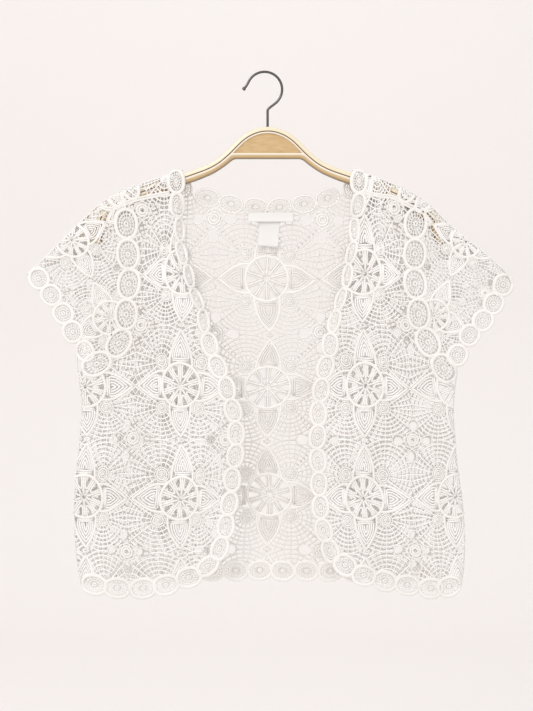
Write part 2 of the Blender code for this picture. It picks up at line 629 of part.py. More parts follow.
def build_hook(collection):
    """A wire that rises from the hanger, bends out and goes round over the rail to a flared tip."""
    chrome = new_material("Chromed wire", (0.72, 0.72, 0.74), 0.2, 1.0)
    radius = HOOK_INNER_RADIUS + HOOK_WIRE_RADIUS
    centre_z = -HOOK_INNER_RADIUS
    first, last = math.radians(HOOK_NECK_DEGREES), math.radians(HOOK_TIP_DEGREES)
    ring = [(radius * math.cos(a), centre_z + radius * math.sin(a))
            for a in (first + (last - first) * i / HOOK_RING_STEPS for i in range(HOOK_RING_STEPS + 1))]
    shank = [(HOOK_SHANK_X, HOOK_SHANK_END), (HOOK_SHANK_X, HOOK_SHANK_TOP)]
    bend_way = (-math.sin(first) * HOOK_BEND_PULL, math.cos(first) * HOOK_BEND_PULL)
    bend = eased(shank[1], (0.0, HOOK_SHANK_PULL), ring[0], bend_way, HOOK_BEND_STEPS)
    tip_way = (-math.sin(last) * HOOK_TIP_PULL, math.cos(last) * HOOK_TIP_PULL)
    tip = eased(ring[-1], tip_way, HOOK_TIP, HOOK_TIP_WAY, HOOK_TIP_STEPS)
    route = shank + bend + ring[1:] + tip
    wire = bpy.data.curves.new("hanger_hook", "CURVE")
    wire.dimensions = "3D"
    wire.bevel_depth = HOOK_WIRE_RADIUS * MM
    wire.bevel_resolution = 2
    wire.use_fill_caps = True
    spline = wire.splines.new("POLY")
    spline.points.add(len(route) - 1)
    for point, (x, z) in zip(spline.points, route):
        point.co = (x * MM, 0.0, z * MM, 1.0)
    wire.materials.append(chrome)
    collection.objects.link(bpy.data.objects.new("hanger_hook", wire))


clear_scene()
cardigan = new_collection("Cropped cardigan on a hanger")
build_cloth(cardigan)
build_labels(cardigan)
build_hanger(cardigan)
build_hook(cardigan)
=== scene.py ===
"""Looks for a cropped lace cardigan that hangs on a wooden hanger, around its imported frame.

Tables and sizes are millimetres in the frame's axes: x to the right, y to the back, z up, the origin under
the crown of the hook. Left and right are as seen from the front.
"""
import math

import bpy
import numpy as np
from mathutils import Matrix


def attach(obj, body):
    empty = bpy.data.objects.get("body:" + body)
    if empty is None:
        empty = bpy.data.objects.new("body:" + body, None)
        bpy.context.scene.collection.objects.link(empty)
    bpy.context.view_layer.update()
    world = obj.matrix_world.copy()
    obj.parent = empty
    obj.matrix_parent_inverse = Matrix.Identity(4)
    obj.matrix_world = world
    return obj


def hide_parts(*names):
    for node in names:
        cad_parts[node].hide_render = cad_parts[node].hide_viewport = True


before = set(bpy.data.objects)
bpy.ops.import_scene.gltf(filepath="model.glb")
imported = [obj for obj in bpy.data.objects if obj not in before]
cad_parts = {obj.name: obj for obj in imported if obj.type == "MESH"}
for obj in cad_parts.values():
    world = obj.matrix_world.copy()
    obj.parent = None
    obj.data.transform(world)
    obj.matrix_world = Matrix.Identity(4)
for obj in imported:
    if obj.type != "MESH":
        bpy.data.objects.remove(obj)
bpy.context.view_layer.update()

# Hanger hook. 3.2 mm steel wire, bent cold round a former, chrome-plated, and pushed into the top of the
# wooden hump. Its tip is pressed into a short flat foot so that it doesn't scratch the rail.
MM = 0.001
WIRE_RADIUS = 1.6
HOOK_INNER_RADIUS = 20.4
HOOK_NECK, HOOK_TIP_TURN = math.radians(-42), math.radians(155)
HOOK_SHANK_X = 3.9
HOOK_SHANK_FOOT, HOOK_SHANK_TOP = -69.0, -47.0
HOOK_TIP = (-26.9, -20.6)
PRESSED_TIP_ALONG = (-3.4, -3.4 + 0.4, -0.1, 0.3)     # from the tip, and its radius there
PRESSED_TIP_RADII = (WIRE_RADIUS, 2.3, 2.3, 1.5)


def linear(hex_colour):
    """An sRGB hex colour as the linear colour that a shader takes."""
    channels = [int(hex_colour[i:i + 2], 16) / 255 for i in (1, 3, 5)]
    return [c / 12.92 if c <= 0.04045 else ((c + 0.055) / 1.055) ** 2.4 for c in channels] + [1.0]


def new_material(name, colour, **sockets):
    """A material with one Principled shader, and that shader."""
    material = bpy.data.materials.new(name)
    material.use_nodes = True
    shader = material.node_tree.nodes["Principled BSDF"]
    shader.inputs["Base Color"].default_value = linear(colour)
    for socket, value in sockets.items():
        shader.inputs[socket.replace("_", " ")].default_value = value
    return material, shader


def add_node(material, kind, settings, values, links):
    """A new node: its settings, the values of its own sockets, and the outputs that feed the others."""
    node = material.node_tree.nodes.new(kind)
    for name, value in settings.items():
        setattr(node, name, value)
    for name, value in values.items():
        node.inputs[name].default_value = value
    for name, output in links.items():
        material.node_tree.links.new(output, node.inputs[name])
    return node


def feed(material, shader, socket, output):
    material.node_tree.links.new(output, shader.inputs[socket])


def as_points(*coordinates):
    return np.stack(coordinates, axis=1)


def eased(start, start_way, end, end_way, steps):
    """A smooth bend from one point and direction to another, without its first point."""
    t = np.arange(1, steps + 1)[:, None] / steps
    return ((2 * t**3 - 3 * t**2 + 1) * start + (t**3 - 2 * t**2 + t) * start_way
            + (3 * t**2 - 2 * t**3) * end + (t**3 - t**2) * end_way)


def finish_piece(piece, material, slot, *nodes):
    """Gives a piece its material, lets it ride with the garment and stand for its nodes."""
    piece.data.materials.append(material)
    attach(piece, "root")
    if nodes:
        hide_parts(*nodes)


def in_scene(name, data):
    made = bpy.data.objects.new(name, data)
    bpy.context.scene.collection.objects.link(made)
    return made


def bent_wire(name, route, radii):
    """A round wire along a route in the plane of the hanger."""
    curve = bpy.data.curves.new(name, "CURVE")
    curve.dimensions = "3D"
    curve.bevel_depth = MM
    curve.bevel_resolution = 5
    curve.use_fill_caps = True
    spline = curve.splines.new("POLY")
    spline.points.add(len(route) - 1)
    for point, (x, z), radius in zip(spline.points, route, radii):
        point.co = (x * MM, 0.0, z * MM, 1.0)
        point.radius = radius
    return in_scene(name, curve)


# Chromed steel gives sharp dark and light reflections, a little broken by handling.
# The base colour is painted much darker than bright chrome: a painted reflection of the dark surroundings that
# the wire mirrors.
chrome, chrome_shader = new_material("Chromed steel wire", "#646260", Metallic=1.0, Roughness=0.16)
handling = add_node(chrome, "ShaderNodeTexNoise", {}, {"Scale": 260.0, "Detail": 3.0}, {})
feed(chrome, chrome_shader, "Roughness",
     add_node(chrome, "ShaderNodeMapRange", {}, {"To Min": 0.1, "To Max": 0.28},
              {"Value": handling.outputs["Fac"]}).outputs["Result"])

wire_radius = HOOK_INNER_RADIUS + WIRE_RADIUS
turn = np.linspace(HOOK_NECK, HOOK_TIP_TURN, 64)
ring = as_points(wire_radius * np.cos(turn), wire_radius * np.sin(turn) - HOOK_INNER_RADIUS)
shank = np.array([(HOOK_SHANK_X, HOOK_SHANK_FOOT), (HOOK_SHANK_X, HOOK_SHANK_TOP)])
bend = eased(shank[1], (0.0, 10.0), ring[0], (-20 * math.sin(HOOK_NECK), 20 * math.cos(HOOK_NECK)), 14)
tip = eased(ring[-1], (-9 * math.sin(HOOK_TIP_TURN), 9 * math.cos(HOOK_TIP_TURN)), HOOK_TIP, (-9.0, -6.0), 8)
hook_route = np.concatenate([shank, bend, ring[1:], tip])
finish_piece(bent_wire("hook_wire", hook_route, [WIRE_RADIUS] * len(hook_route)), chrome, "chromed_wire",
             "hanger_hook")
tip_way = (hook_route[-1] - hook_route[-2]) / np.linalg.norm(hook_route[-1] - hook_route[-2])
foot_route = [HOOK_TIP + tip_way * along for along in PRESSED_TIP_ALONG]
finish_piece(bent_wire("hook_pressed_tip", foot_route, PRESSED_TIP_RADII), chrome, "chromed_wire")


# Hanger body. Maple, band-sawn and rounded over, with a cream band along its top, a turned groove below it
# and a rounded lower edge, under clear lacquer. The two arms and the hump are one bow, whose ends turn down
# inside the sleeves; a bar ties its foot.
SHOULDER_LEFT = ((-101.9, -121.5), (-124, -129), (-158, -140.5), (-177, -148), (-205, -164),
                 (-228, -185), (-252, -209), (-281, -238), (-297, -252))
SHOULDER_RIGHT = ((109.4, -121.5), (134, -129), (165, -141), (188, -153), (209, -168),
                  (228, -187), (250, -206), (275, -226), (298, -246), (309, -263))
HANGER_MIDDLE_X = 4
HALF_HUMP = ((-99, -124.6), (-86, -120.2), (-73, -115.2), (-62, -109.3), (-53, -102.4), (-45, -95.0),
             (-38, -87.8), (-31, -81.2), (-24, -76.0), (-16, -71.8), (-6, -68.6), (HANGER_MIDDLE_X, -67.6))
HALF_UNDER = ((-99, -139.4), (-86, -135.2), (-74, -130.4), (-64, -125.9), (-56, -121.0), (-49, -116.2),
              (-44, -112.2), (-40, -109.0), (-36, -107.6), (HANGER_MIDDLE_X, -107.6))
HANGER_HUMP, HANGER_UNDER = (half + tuple((2 * HANGER_MIDDLE_X - x, z) for x, z in half[-2::-1])
                             for half in (HALF_HUMP, HALF_UNDER))
ARM_BELOW_FOLD, ARM_DEPTH = 4.2, 14.5
ARM_BENDS = (-165.0, 172.0)     # x where the arms leave the fold to turn down inside the sleeves
ARM_END_LEFT = ((-215.4, -219.5), (-217, -211), (-216, -200), (-213, -188), (-207.5, -177), (-199, -166.8),
                (-188, -158.4), (-175, -151.8))
ARM_END_RIGHT = ((186, -156.9), (197, -164.3), (207, -172.5), (215.5, -181.5), (222, -192), (226, -203),
                 (227.3, -212), (226, -219.8))
HANGER_HALF_THICKNESS = 5.6
GROOVE_TOP, GROOVE_FOOT, GROOVE_CUT = 5.4, 6.4, 1.0
BAR_TOP = -100.6
# Half sections: how far below the top, how far from the middle plane. The rail's are shares of its depth.
BOW_SECTION = ((0.0, 2.6), (0.7, 4.4), (2.0, 5.4), (GROOVE_TOP, HANGER_HALF_THICKNESS),
               (GROOVE_TOP + 0.2, HANGER_HALF_THICKNESS - GROOVE_CUT),
               (GROOVE_FOOT, HANGER_HALF_THICKNESS - GROOVE_CUT),
               (GROOVE_FOOT + 0.2, 5.45), (GROOVE_FOOT + 1.5, 5.45), (GROOVE_FOOT + 1.9, 4.2))
RAIL_SECTION = ((0.0, 4.4), (0.03, 5.5), (0.22, 5.6), (0.5, 5.2), (0.75, 4.2), (0.93, 2.6), (1.0, 1.2))


def along_table(rows, value, key=0, out=1):
    """A smooth curve through a table's rows, read at many values of its key column."""
    rows = np.array(rows if rows[0][key] < rows[-1][key] else rows[::-1], float)
    keys, heights = rows[:, key], rows[:, out]
    slopes = np.gradient(heights)
    slopes[1:-1] = (heights[2:] - heights[:-2]) / (keys[2:] - keys[:-2])
    slopes[0] = (heights[1] - heights[0]) / (keys[1] - keys[0])
    slopes[-1] = (heights[-1] - heights[-2]) / (keys[-1] - keys[-2])
    value = np.clip(value, keys[0], keys[-1])
    i = np.clip(np.searchsorted(keys, value) - 1, 0, len(keys) - 2)
    span = keys[i + 1] - keys[i]
    t = (value - keys[i]) / span
    return ((2 * t**3 - 3 * t**2 + 1) * heights[i] + (t**3 - 2 * t**2 + t) * slopes[i] * span
            + (3 * t**2 - 2 * t**3) * heights[i + 1] + (t**3 - t**2) * slopes[i + 1] * span)


def shoulder_z(x):
    level = np.where(x < 0, along_table(SHOULDER_LEFT, x), along_table(SHOULDER_RIGHT, x))
    return np.where((x > SHOULDER_LEFT[0][0]) & (x < SHOULDER_RIGHT[0][0]), SHOULDER_LEFT[0][1], level)


def strides(points):
    """The lengths between the points of a polyline."""
    return np.linalg.norm(np.diff(points, axis=0), axis=1)


def travelled(points):
    """How far along a polyline each of its points lies."""
    return np.concatenate([[0.0], np.cumsum(strides(points))])


def spread_evenly(points, step):
    """The polyline's points at even steps, near the given length."""
    lengths = travelled(points)
    places = np.linspace(0, lengths[-1], max(2, round(lengths[-1] / step) + 1))
    return np.stack([np.interp(places, lengths, points[:, k]) for k in range(points.shape[1])], axis=1)


def curved(rows, step):
    """A smooth curve through the rows, as a polyline of even steps."""
    rows = np.array(rows, float)
    before, after = np.vstack([rows[:1], rows[:-2]]), np.vstack([rows[2:], rows[-1:]])
    t = (np.arange(12) / 12)[None, :, None]
    a, b, c, d = (p[:, None, :] for p in (before, rows[:-1], rows[1:], after))
    fine = 0.5 * (2 * b + (c - a) * t + (2 * a - 5 * b + 4 * c - d) * t**2 + (3 * b - a - 3 * c + d) * t**3)
    return spread_evenly(np.vstack([fine.reshape(-1, rows.shape[1]), rows[-1:]]), step)


def ways_along(points):
    """The direction of travel at each point of a polyline."""
    ways = np.gradient(points, axis=0)
    return ways / np.linalg.norm(ways, axis=1, keepdims=True)


def to_right(points):
    """The direction to the right of travel at each point of a polyline."""
    ways = ways_along(points)
    return as_points(ways[:, 1], -ways[:, 0])


def beside(points, distance):
    """The polyline moved to the right of its direction."""
    return points + to_right(points) * np.reshape(distance, (-1, 1))


def skin(name, rings):
    """A closed body through rings of points, with flat ends."""
    rings = np.array(rings, float)
    corner = np.arange(rings.shape[0] * rings.shape[1]).reshape(rings.shape[:2])
    beyond = np.roll(corner, -1, axis=1)
    faces = np.stack([corner[:-1], corner[1:], beyond[1:], beyond[:-1]], axis=-1).reshape(-1, 4).tolist()
    faces += [corner[0].tolist(), corner[-1][::-1].tolist()]
    mesh = bpy.data.meshes.new(name)
    mesh.from_pydata((rings.reshape(-1, 3) * MM).tolist(), [], faces)
    mesh.shade_smooth()
    mesh.set_sharp_from_angle(angle=math.radians(40))
    return in_scene(name, mesh)


def mark_points(piece, name, values):
    """Keeps one number for each point of a piece, which its material reads."""
    piece.data.attributes.new(name, "FLOAT", "POINT").data.foreach_set("value", np.ravel(values))


def closed_section(half):
    """Half a section and its mirror image across the middle plane, as one ring of (below, y)."""
    half = np.array(half, float)
    return np.vstack([half * (1, -1), half[::-1]])


def wood_grain(material, scale, detail, roughness):
    """Streaks of grain, stretched along the hanger's arms."""
    place = add_node(material, "ShaderNodeTexCoord", {}, {}, {})
    stretched = add_node(material, "ShaderNodeMapping", {}, {"Scale": scale},
                         {"Vector": place.outputs["Object"]})
    grain = add_node(material, "ShaderNodeTexNoise", {},
                     {"Scale": 1.0, "Detail": detail, "Roughness": roughness},
                     {"Vector": stretched.outputs["Vector"]})
    return grain.outputs["Fac"]


# Lacquered maple: a pale cream band with a slightly darker top edge, and a brown line in the groove. Below the
# groove the colour is painted light: a near-white painted highlight on the rounded step, then tan painted
# shade on the rounded lower part and grey-brown painted shade along the lower edge. Its grain runs along the
# arms, about 1.5 mm apart, and shows only as a faint streak.
maple, maple_shader = new_material("Clear-lacquered maple", "#EBDDB8", Roughness=0.34, Coat_Weight=0.35,
                                   Coat_Roughness=0.12)
below_top = add_node(maple, "ShaderNodeAttribute", {"attribute_name": "below_top"}, {}, {})
zones = add_node(maple, "ShaderNodeMapRange", {}, {"From Max": 16.0}, {"Value": below_top.outputs["Fac"]})
maple_and_painted_light = add_node(maple, "ShaderNodeValToRGB", {}, {}, {"Fac": zones.outputs["Result"]})
# Shares of 16 mm below the top and their colours: from 0.405 a near-white painted highlight, from 0.62 tan
# painted shade and at 0.95 grey-brown painted shade.
MAPLE_AND_PAINTED_LIGHT_ZONES = ((0.0, "#E2D4B4"), (0.12, "#F0E5CB"), (0.31, "#EDE0C2"), (0.325, "#86653F"), (0.39, "#86653F"),
              (0.405, "#F5EFE2"), (0.56, "#F1E7D4"), (0.62, "#D9C098"), (0.84, "#C9A877"), (0.95, "#8A7A62"))
for _ in MAPLE_AND_PAINTED_LIGHT_ZONES[2:]:
    maple_and_painted_light.color_ramp.elements.new(1.0)
for element, (place, colour) in zip(maple_and_painted_light.color_ramp.elements, MAPLE_AND_PAINTED_LIGHT_ZONES):
    element.position = place
    element.color = linear(colour)
streak_tint = add_node(maple, "ShaderNodeMapRange", {}, {"To Min": 0.9, "To Max": 1.05},
                       {"Value": wood_grain(maple, (60.0, 600.0, 650.0), 4.0, 0.6)})
wood_mix = add_node(maple, "ShaderNodeVectorMath", {"operation": "SCALE"}, {},
                    {"Vector": maple_and_painted_light.outputs["Color"], "Scale": streak_tint.outputs["Result"]})
feed(maple, maple_shader, "Base Color", wood_mix.outputs["Vector"])

arm_left = np.linspace(ARM_BENDS[0], SHOULDER_LEFT[0][0] - 8, 8)
arm_right = np.linspace(SHOULDER_RIGHT[0][0] + 8, ARM_BENDS[1], 8)
arms = [beside(as_points(x, shoulder_z(x)), ARM_BELOW_FOLD) for x in (arm_left, arm_right)]
bow_top = curved(np.vstack([ARM_END_LEFT, arms[0][::2], HANGER_HUMP[1:-1], arms[1][1::2], ARM_END_RIGHT]),
                 2.5)
bow_down = to_right(bow_top)
ends_first = np.minimum(np.arange(len(bow_top)), np.arange(len(bow_top))[::-1])
bow_full = np.clip(ends_first / 3 + 0.3, 0, 1)
bow_section = closed_section(BOW_SECTION)
bow_below = bow_section[:, 0] * bow_full[:, None] + (1 - bow_full[:, None]) * 3
bow_flat = bow_top[:, None, :] + bow_down[:, None, :] * bow_below[:, :, None]
bow = skin("hanger_bow", np.stack([bow_flat[:, :, 0], bow_section[:, 1] * bow_full[:, None],
                                   bow_flat[:, :, 1]], axis=2))
# Below the groove the bow's lip takes the near-white painted highlight.
mark_points(bow, "below_top", np.tile(bow_section[:, 0], len(bow_top)))
finish_piece(bow, maple, "lacquered_wood", "hanger_body")

rail_top = (bow_top + bow_down * GROOVE_FOOT)[2:-2]
hump_foot = np.vstack([beside(arms[0], ARM_DEPTH)[:-1], HANGER_UNDER, beside(arms[1], ARM_DEPTH)[1:]])
rail_foot = as_points(rail_top[:, 0], np.interp(rail_top[:, 0], hump_foot[:, 0], hump_foot[:, 1]))
out_on_arm = np.clip((np.abs(rail_top[:, :1] - HOOK_SHANK_X) - 106) / 24, 0, 1)
rail_foot += ((bow_top + bow_down * ARM_DEPTH)[2:-2] - rail_foot) * out_on_arm
over_bar = (rail_top[:, 0] > HANGER_UNDER[3][0]) & (rail_top[:, 0] < HANGER_UNDER[-4][0])
rail_top[over_bar, 1] = np.minimum(rail_top[over_bar, 1], BAR_TOP)
rail_section = closed_section(RAIL_SECTION)
rail_full = bow_full[2:-2, None]
rail_share = 0.3 + (rail_section[:, 0] - 0.3) * rail_full
rail_flat = rail_top[:, None, :] + (rail_foot - rail_top)[:, None, :] * rail_share[:, :, None]
rail = skin("hanger_rail", np.stack([rail_flat[:, :, 0], rail_section[:, 1] * rail_full,
                                     rail_flat[:, :, 1]], axis=2))
# The rail takes the painted highlight at its top and painted shade down to its lower edge.
mark_points(rail, "below_top", np.tile(6.55 + rail_section[:, 0] * 9.45, len(rail_top)))
finish_piece(rail, maple, "lacquered_wood")


# Half-moon inlay of the hanger. A plate of golden maple let into the hump, planed flat with a small bevel
# round it that catches the light, and lacquered with the rest.
INLAY_CENTRE_X, INLAY_HALF_WIDTH = 4.4, 44.0
INLAY_TOP, INLAY_FOOT = -75.4, -101.0
# Spread of the outline, half depth
INLAY_STEPS = ((0.35, 2.0), (0.35, 3.4), (-0.15, 4.1), (-1.0, 4.2), (-1.5, 3.7), (-6.0, 3.7))

golden, golden_shader = new_material("Golden maple inlay", "#DCBC89", Roughness=0.42, Coat_Weight=0.25,
                                     Coat_Roughness=0.2)
golden_ramp = add_node(golden, "ShaderNodeValToRGB", {}, {},
                       {"Fac": wood_grain(golden, (70.0, 200.0, 420.0), 5.0, 0.65)})
for element, (place, colour) in zip(golden_ramp.color_ramp.elements, ((0.3, "#C2A06A"), (0.7, "#D3B588"))):
    element.position = place
    element.color = linear(colour)
feed(golden, golden_shader, "Base Color", golden_ramp.outputs["Color"])


def half_moon(spread, steps=40):
    """The inlay's outline, an arc over a straight foot, grown on all sides by spread."""
    height = INLAY_TOP - INLAY_FOOT
    radius = (INLAY_HALF_WIDTH**2 + height**2) / (2 * height)
    centre_z = INLAY_TOP - radius
    foot_turn = math.asin((INLAY_FOOT - spread - centre_z) / (radius + spread))
    turns = np.linspace(foot_turn, math.pi - foot_turn, steps)
    arc = as_points(INLAY_CENTRE_X + (radius + spread) * np.cos(turns),
                    centre_z + (radius + spread) * np.sin(turns))
    return np.vstack([arc, np.linspace(arc[-1], arc[0], 14)[1:-1]])


inlay_rings = [np.insert(half_moon(spread), 1, -depth, axis=1) for spread, depth in INLAY_STEPS[::-1]]
inlay_rings += [np.insert(half_moon(spread), 1, depth, axis=1) for spread, depth in INLAY_STEPS]
finish_piece(skin("hanger_inlay", inlay_rings), golden, "wood_inlay", "hanger_panel")


# Form of the cloth. The body is two layers of lace that meet in a soft fold along the shoulders and sides,
# flat against the hanger, with shallow vertical waves, and front edges that roll inwards below the neck.
SHOULDER_HALF_DEPTH, BODY_HALF_DEPTH, DEPTH_GROWS_OVER = 7.4, 13.0, 130.0
FOLD_EDGE_Y = 0.35
SIDE_LEFT = ((-234.4, -350), (-233, -374), (-228, -410), (-231, -460), (-236, -510),
             (-237.5, -556), (-235, -600), (-229, -640))
SIDE_RIGHT = ((241, -374), (237.5, -396), (236, -425), (238, -458), (241, -492),
              (247, -535), (250, -580), (249, -615), (246, -640))
FRONT_EDGE_LEFT = ((-75, -630), (-52, -603), (-40, -565), (-32, -505), (-27, -455), (-35, -405),
                   (-57, -348), (-73, -305), (-92, -250), (-102, -215), (-102.5, -170), (-101.9, -121.5))
FRONT_EDGE_RIGHT = ((82, -612), (69, -585), (62, -545), (59, -495), (58, -455), (61, -405),
                    (72, -348), (84, -305), (98, -262), (106, -220), (110.5, -175), (109.4, -121.5))
# Vertical waves: x of the crest, half width, height towards the viewer, z where it starts and ends
FRONT_WAVES = ((-196, 26, 3.5, -395, -700), (-140, 24, -3.0, -330, -700), (-78, 22, 3.0, -420, -700),
               (96, 24, 2.6, -430, -700), (150, 26, -3.2, -350, -700), (204, 24, 3.6, -410, -700),
               (-150, 20, 2.4, -200, -330), (160, 22, 2.4, -205, -340))
BACK_WAVES = ((-170, 30, -3.0, -360, -700), (-92, 28, 3.2, -250, -700), (-10, 30, -3.4, -330, -700),
              (70, 26, 2.8, -260, -700), (150, 30, -3.0, -380, -700))
WAVE_RISE, CALM_WIDTH = 65.0, 25.0
ROLL_WIDTH, ROLL_DEPTH, ROLL_CURVE = 17.0, 15.0, 1.6
ROLL_TOP, ROLL_FULL_TOP, ROLL_FULL_END, ROLL_END = -150.0, -190.0, -290.0, -350.0
FRONT, BACK = -1, 1


def smooth_step(value):
    value = np.clip(value, 0.0, 1.0)
    return value * value * (3.0 - 2.0 * value)


def by_side(x, left, right):
    return np.where(x < 0, left, right)


def edge_x(x, z, left, right):
    """Where the edge of the left or the right half lies at height z."""
    return by_side(x, along_table(left, z, 1, 0), along_table(right, z, 1, 0))


def round_over(distance, radius):
    """Depth of a rounded fold: 0 on the fold, 1 from its radius inwards."""
    return np.sqrt(np.maximum(0.0, 1.0 - np.maximum(0.0, 1.0 - distance / radius) ** 2))


def roll_strength(z):
    return (smooth_step((ROLL_TOP - z) / (ROLL_TOP - ROLL_FULL_TOP))
            * smooth_step((z - ROLL_END) / (ROLL_FULL_END - ROLL_END)))


def cloth_y(x, z, layer):
    """Depth of the middle of the lace where the front view shows x, z."""
    slope = (shoulder_z(x + 4) - shoulder_z(x - 4)) / 8
    from_shoulder = np.maximum(0.0, shoulder_z(x) - z) / np.sqrt(1 + slope**2)
    from_side = np.hypot(np.maximum(0.0, np.abs(edge_x(x, z, SIDE_LEFT, SIDE_RIGHT)) - np.abs(x)),
                         np.maximum(0.0, z - by_side(x, SIDE_LEFT[0][1], SIDE_RIGHT[0][1])))
    grown = smooth_step((from_shoulder - 2 * SHOULDER_HALF_DEPTH) / DEPTH_GROWS_OVER)
    depth = SHOULDER_HALF_DEPTH + (BODY_HALF_DEPTH - SHOULDER_HALF_DEPTH) * grown
    rounding = round_over(from_shoulder, depth) * round_over(from_side, depth)
    lift = np.zeros_like(x)
    for crest_x, half_width, crest, start_z, end_z in FRONT_WAVES if layer == FRONT else BACK_WAVES:
        across = np.minimum(1.0, np.abs(x - crest_x) / half_width)
        along = smooth_step((start_z - z) / WAVE_RISE) * smooth_step((z - end_z) / WAVE_RISE)
        lift += crest * along * (0.5 + 0.5 * np.cos(np.pi * across))
    calm = smooth_step((from_shoulder - depth) / CALM_WIDTH) * smooth_step((from_side - depth) / CALM_WIDTH)
    y = layer * (FOLD_EDGE_Y + (depth - FOLD_EDGE_Y) * rounding) - lift * calm
    if layer == FRONT:
        edge = edge_x(x, z, FRONT_EDGE_LEFT, FRONT_EDGE_RIGHT)
        inside_edge = np.where(x * edge > 0, np.maximum(0.0, np.abs(x) - np.abs(edge)), 0.0)
        y += ROLL_DEPTH * roll_strength(z) * np.maximum(0.0, 1.0 - inside_edge / ROLL_WIDTH) ** ROLL_CURVE
    return y


def out_of_cloth(x, z, layer, reach=0.6):
    """The direction straight out of the lace, away from the wearer's side."""
    slope_x = (cloth_y(x + reach, z, layer) - cloth_y(x - reach, z, layer)) / (2 * reach)
    slope_z = (cloth_y(x, z + reach, layer) - cloth_y(x, z - reach, layer)) / (2 * reach)
    out = layer * as_points(-slope_x, np.ones_like(x), -slope_z)
    return out / np.linalg.norm(out, axis=1, keepdims=True)


# Lace cords. White cotton yarn, mercerised, stitched by machine into raised cords and fine bars on a backing
# that is washed out. A cord is a line in the front view with a width and a height, swept along the cloth.
OUTLINE_CORD = (3.3, 2.2)     # width, height
RING_CORD = (3.9, 2.4)
LEAF_CORD = (2.5, 1.1)
BAR_CORD = (1.8, 1.3)
FINE_CORD = (1.2, 0.9)
GROUND_BELOW, THICK_FROM = 1.25, 2.0     # heights of the ground's fine thread and of the roundest cords
SHORTEST = 0.8     # cut ends shorter than this are left out


def cord(points, size, closed=False):
    return np.array(points, float), size, closed


def full_circle(steps):
    return np.arange(steps) * 2 * np.pi / steps


def turned(way, along, across):
    """Points that lie so far along a direction and across it."""
    return as_points(along * way[0] - across * way[1], along * way[1] + across * way[0])


def oval(centre, half_width, half_height, size, steps):
    turns = full_circle(steps)
    return cord(centre + as_points(half_width * np.cos(turns), half_height * np.sin(turns)), size, True)


def swept(cords, layer):
    """Points, faces and yarn coordinates of all cords, laid on one layer of the cloth."""
    all_points, all_faces, all_yarn, first = [], [], [], 0
    for sides in (4, 6):
        group = [c for c in cords if (c[1][1] > THICK_FROM) == (sides == 6)]
        if not group:
            continue
        flat = np.concatenate([c[0] for c in group])
        counts = np.array([len(c[0]) for c in group])
        starts = np.concatenate([[0], np.cumsum(counts)[:-1]])
        width, height = (np.repeat([c[1][i] for c in group], counts) / 2 for i in (0, 1))
        x, z = flat.T
        middle = as_points(x, cloth_y(x, z, layer), z)
        out = out_of_cloth(x, z, layer)
        after, before = np.arange(len(flat)) + 1, np.arange(len(flat)) - 1
        last = starts + counts - 1
        closed = np.array([c[2] for c in group])
        after[last] = np.where(closed, starts, last)
        before[starts] = np.where(closed, last, starts)
        way = middle[after] - middle[before]
        way /= np.linalg.norm(way, axis=1, keepdims=True)
        side = np.cross(way, out)
        side /= np.linalg.norm(side, axis=1, keepdims=True)
        turns = full_circle(sides)
        ring = (side[:, None, :] * (np.cos(turns)[None, :, None] * width[:, None, None])
                + out[:, None, :] * ((np.sin(turns)[None, :, None] + 0.3) * height[:, None, None]))
        all_points.append((middle[:, None, :] + ring).reshape(-1, 3))
        all_yarn.append(as_points(np.repeat(travelled(middle), sides),
                                  np.tile(np.arange(sides) / sides, len(flat))))
        corner = first + np.arange(len(flat) * sides).reshape(-1, sides)
        linked = np.ones(len(flat), bool)
        linked[last] = closed
        here, there = corner[linked], corner[after[linked]]
        turned_here, turned_there = np.roll(here, -1, axis=1), np.roll(there, -1, axis=1)
        all_faces += np.stack([here, there, turned_there, turned_here], axis=-1).reshape(-1, 4).tolist()
        all_faces += corner[starts[~closed]].tolist() + corner[last[~closed]][:, ::-1].tolist()
        first += len(flat) * sides
    return np.concatenate(all_points), all_faces, np.concatenate(all_yarn)


def inside(points, outline):
    """Which points lie inside a closed outline."""
    x, z = points.T
    found = np.zeros(len(points), bool)
    for (ax, az), (bx, bz) in zip(outline, np.roll(outline, -1, axis=0)):
        if az != bz:
            found ^= ((az > z) != (bz > z)) & (x < ax + (z - az) * (bx - ax) / (bz - az))
    return found


def trimmed(cords, keep):
    """The stretches of the cords whose points keep() accepts, with their ends placed to a tenth of a step."""
    kept_mask = keep(np.concatenate([c[0] for c in cords]))
    result, ends, at = [], [], 0
    for points, size, closed in cords:
        mask = kept_mask[at:at + len(points)]
        at += len(points)
        if mask.all():
            result.append([points, size, closed])
            continue
        if not mask.any():
            continue
        if closed:
            start = int(np.argmin(mask))
            points, mask = np.roll(points, -start, axis=0), np.roll(mask, -start)
            points, mask = np.vstack([points, points[:1]]), np.append(mask, mask[0])
        for run in np.split(np.arange(len(points)), np.flatnonzero(np.diff(mask.astype(int))) + 1):
            if not mask[run[0]]:
                continue
            piece = [points[run], size, False]
            result.append(piece)
            if run[0] > 0:
                ends.append((piece, 0, points[run[0]], points[run[0] - 1]))
            if run[-1] < len(points) - 1:
                ends.append((piece, -1, points[run[-1]], points[run[-1] + 1]))
    if ends:
        inner, outer = (np.array([end[i] for end in ends]) for i in (2, 3))
        for _ in range(4):
            middle = (inner + outer) / 2
            good = keep(middle)[:, None]
            inner, outer = np.where(good, middle, inner), np.where(good, outer, middle)
        for (piece, place, _, _), end in zip(ends, inner):
            if np.abs(end - piece[0][place]).max() > 0.01:
                piece[0] = np.vstack([piece[0], end] if place else [end, piece[0]])
    return [tuple(piece) for piece in result if len(piece[0]) > 1 and strides(piece[0]).sum() > SHORTEST]
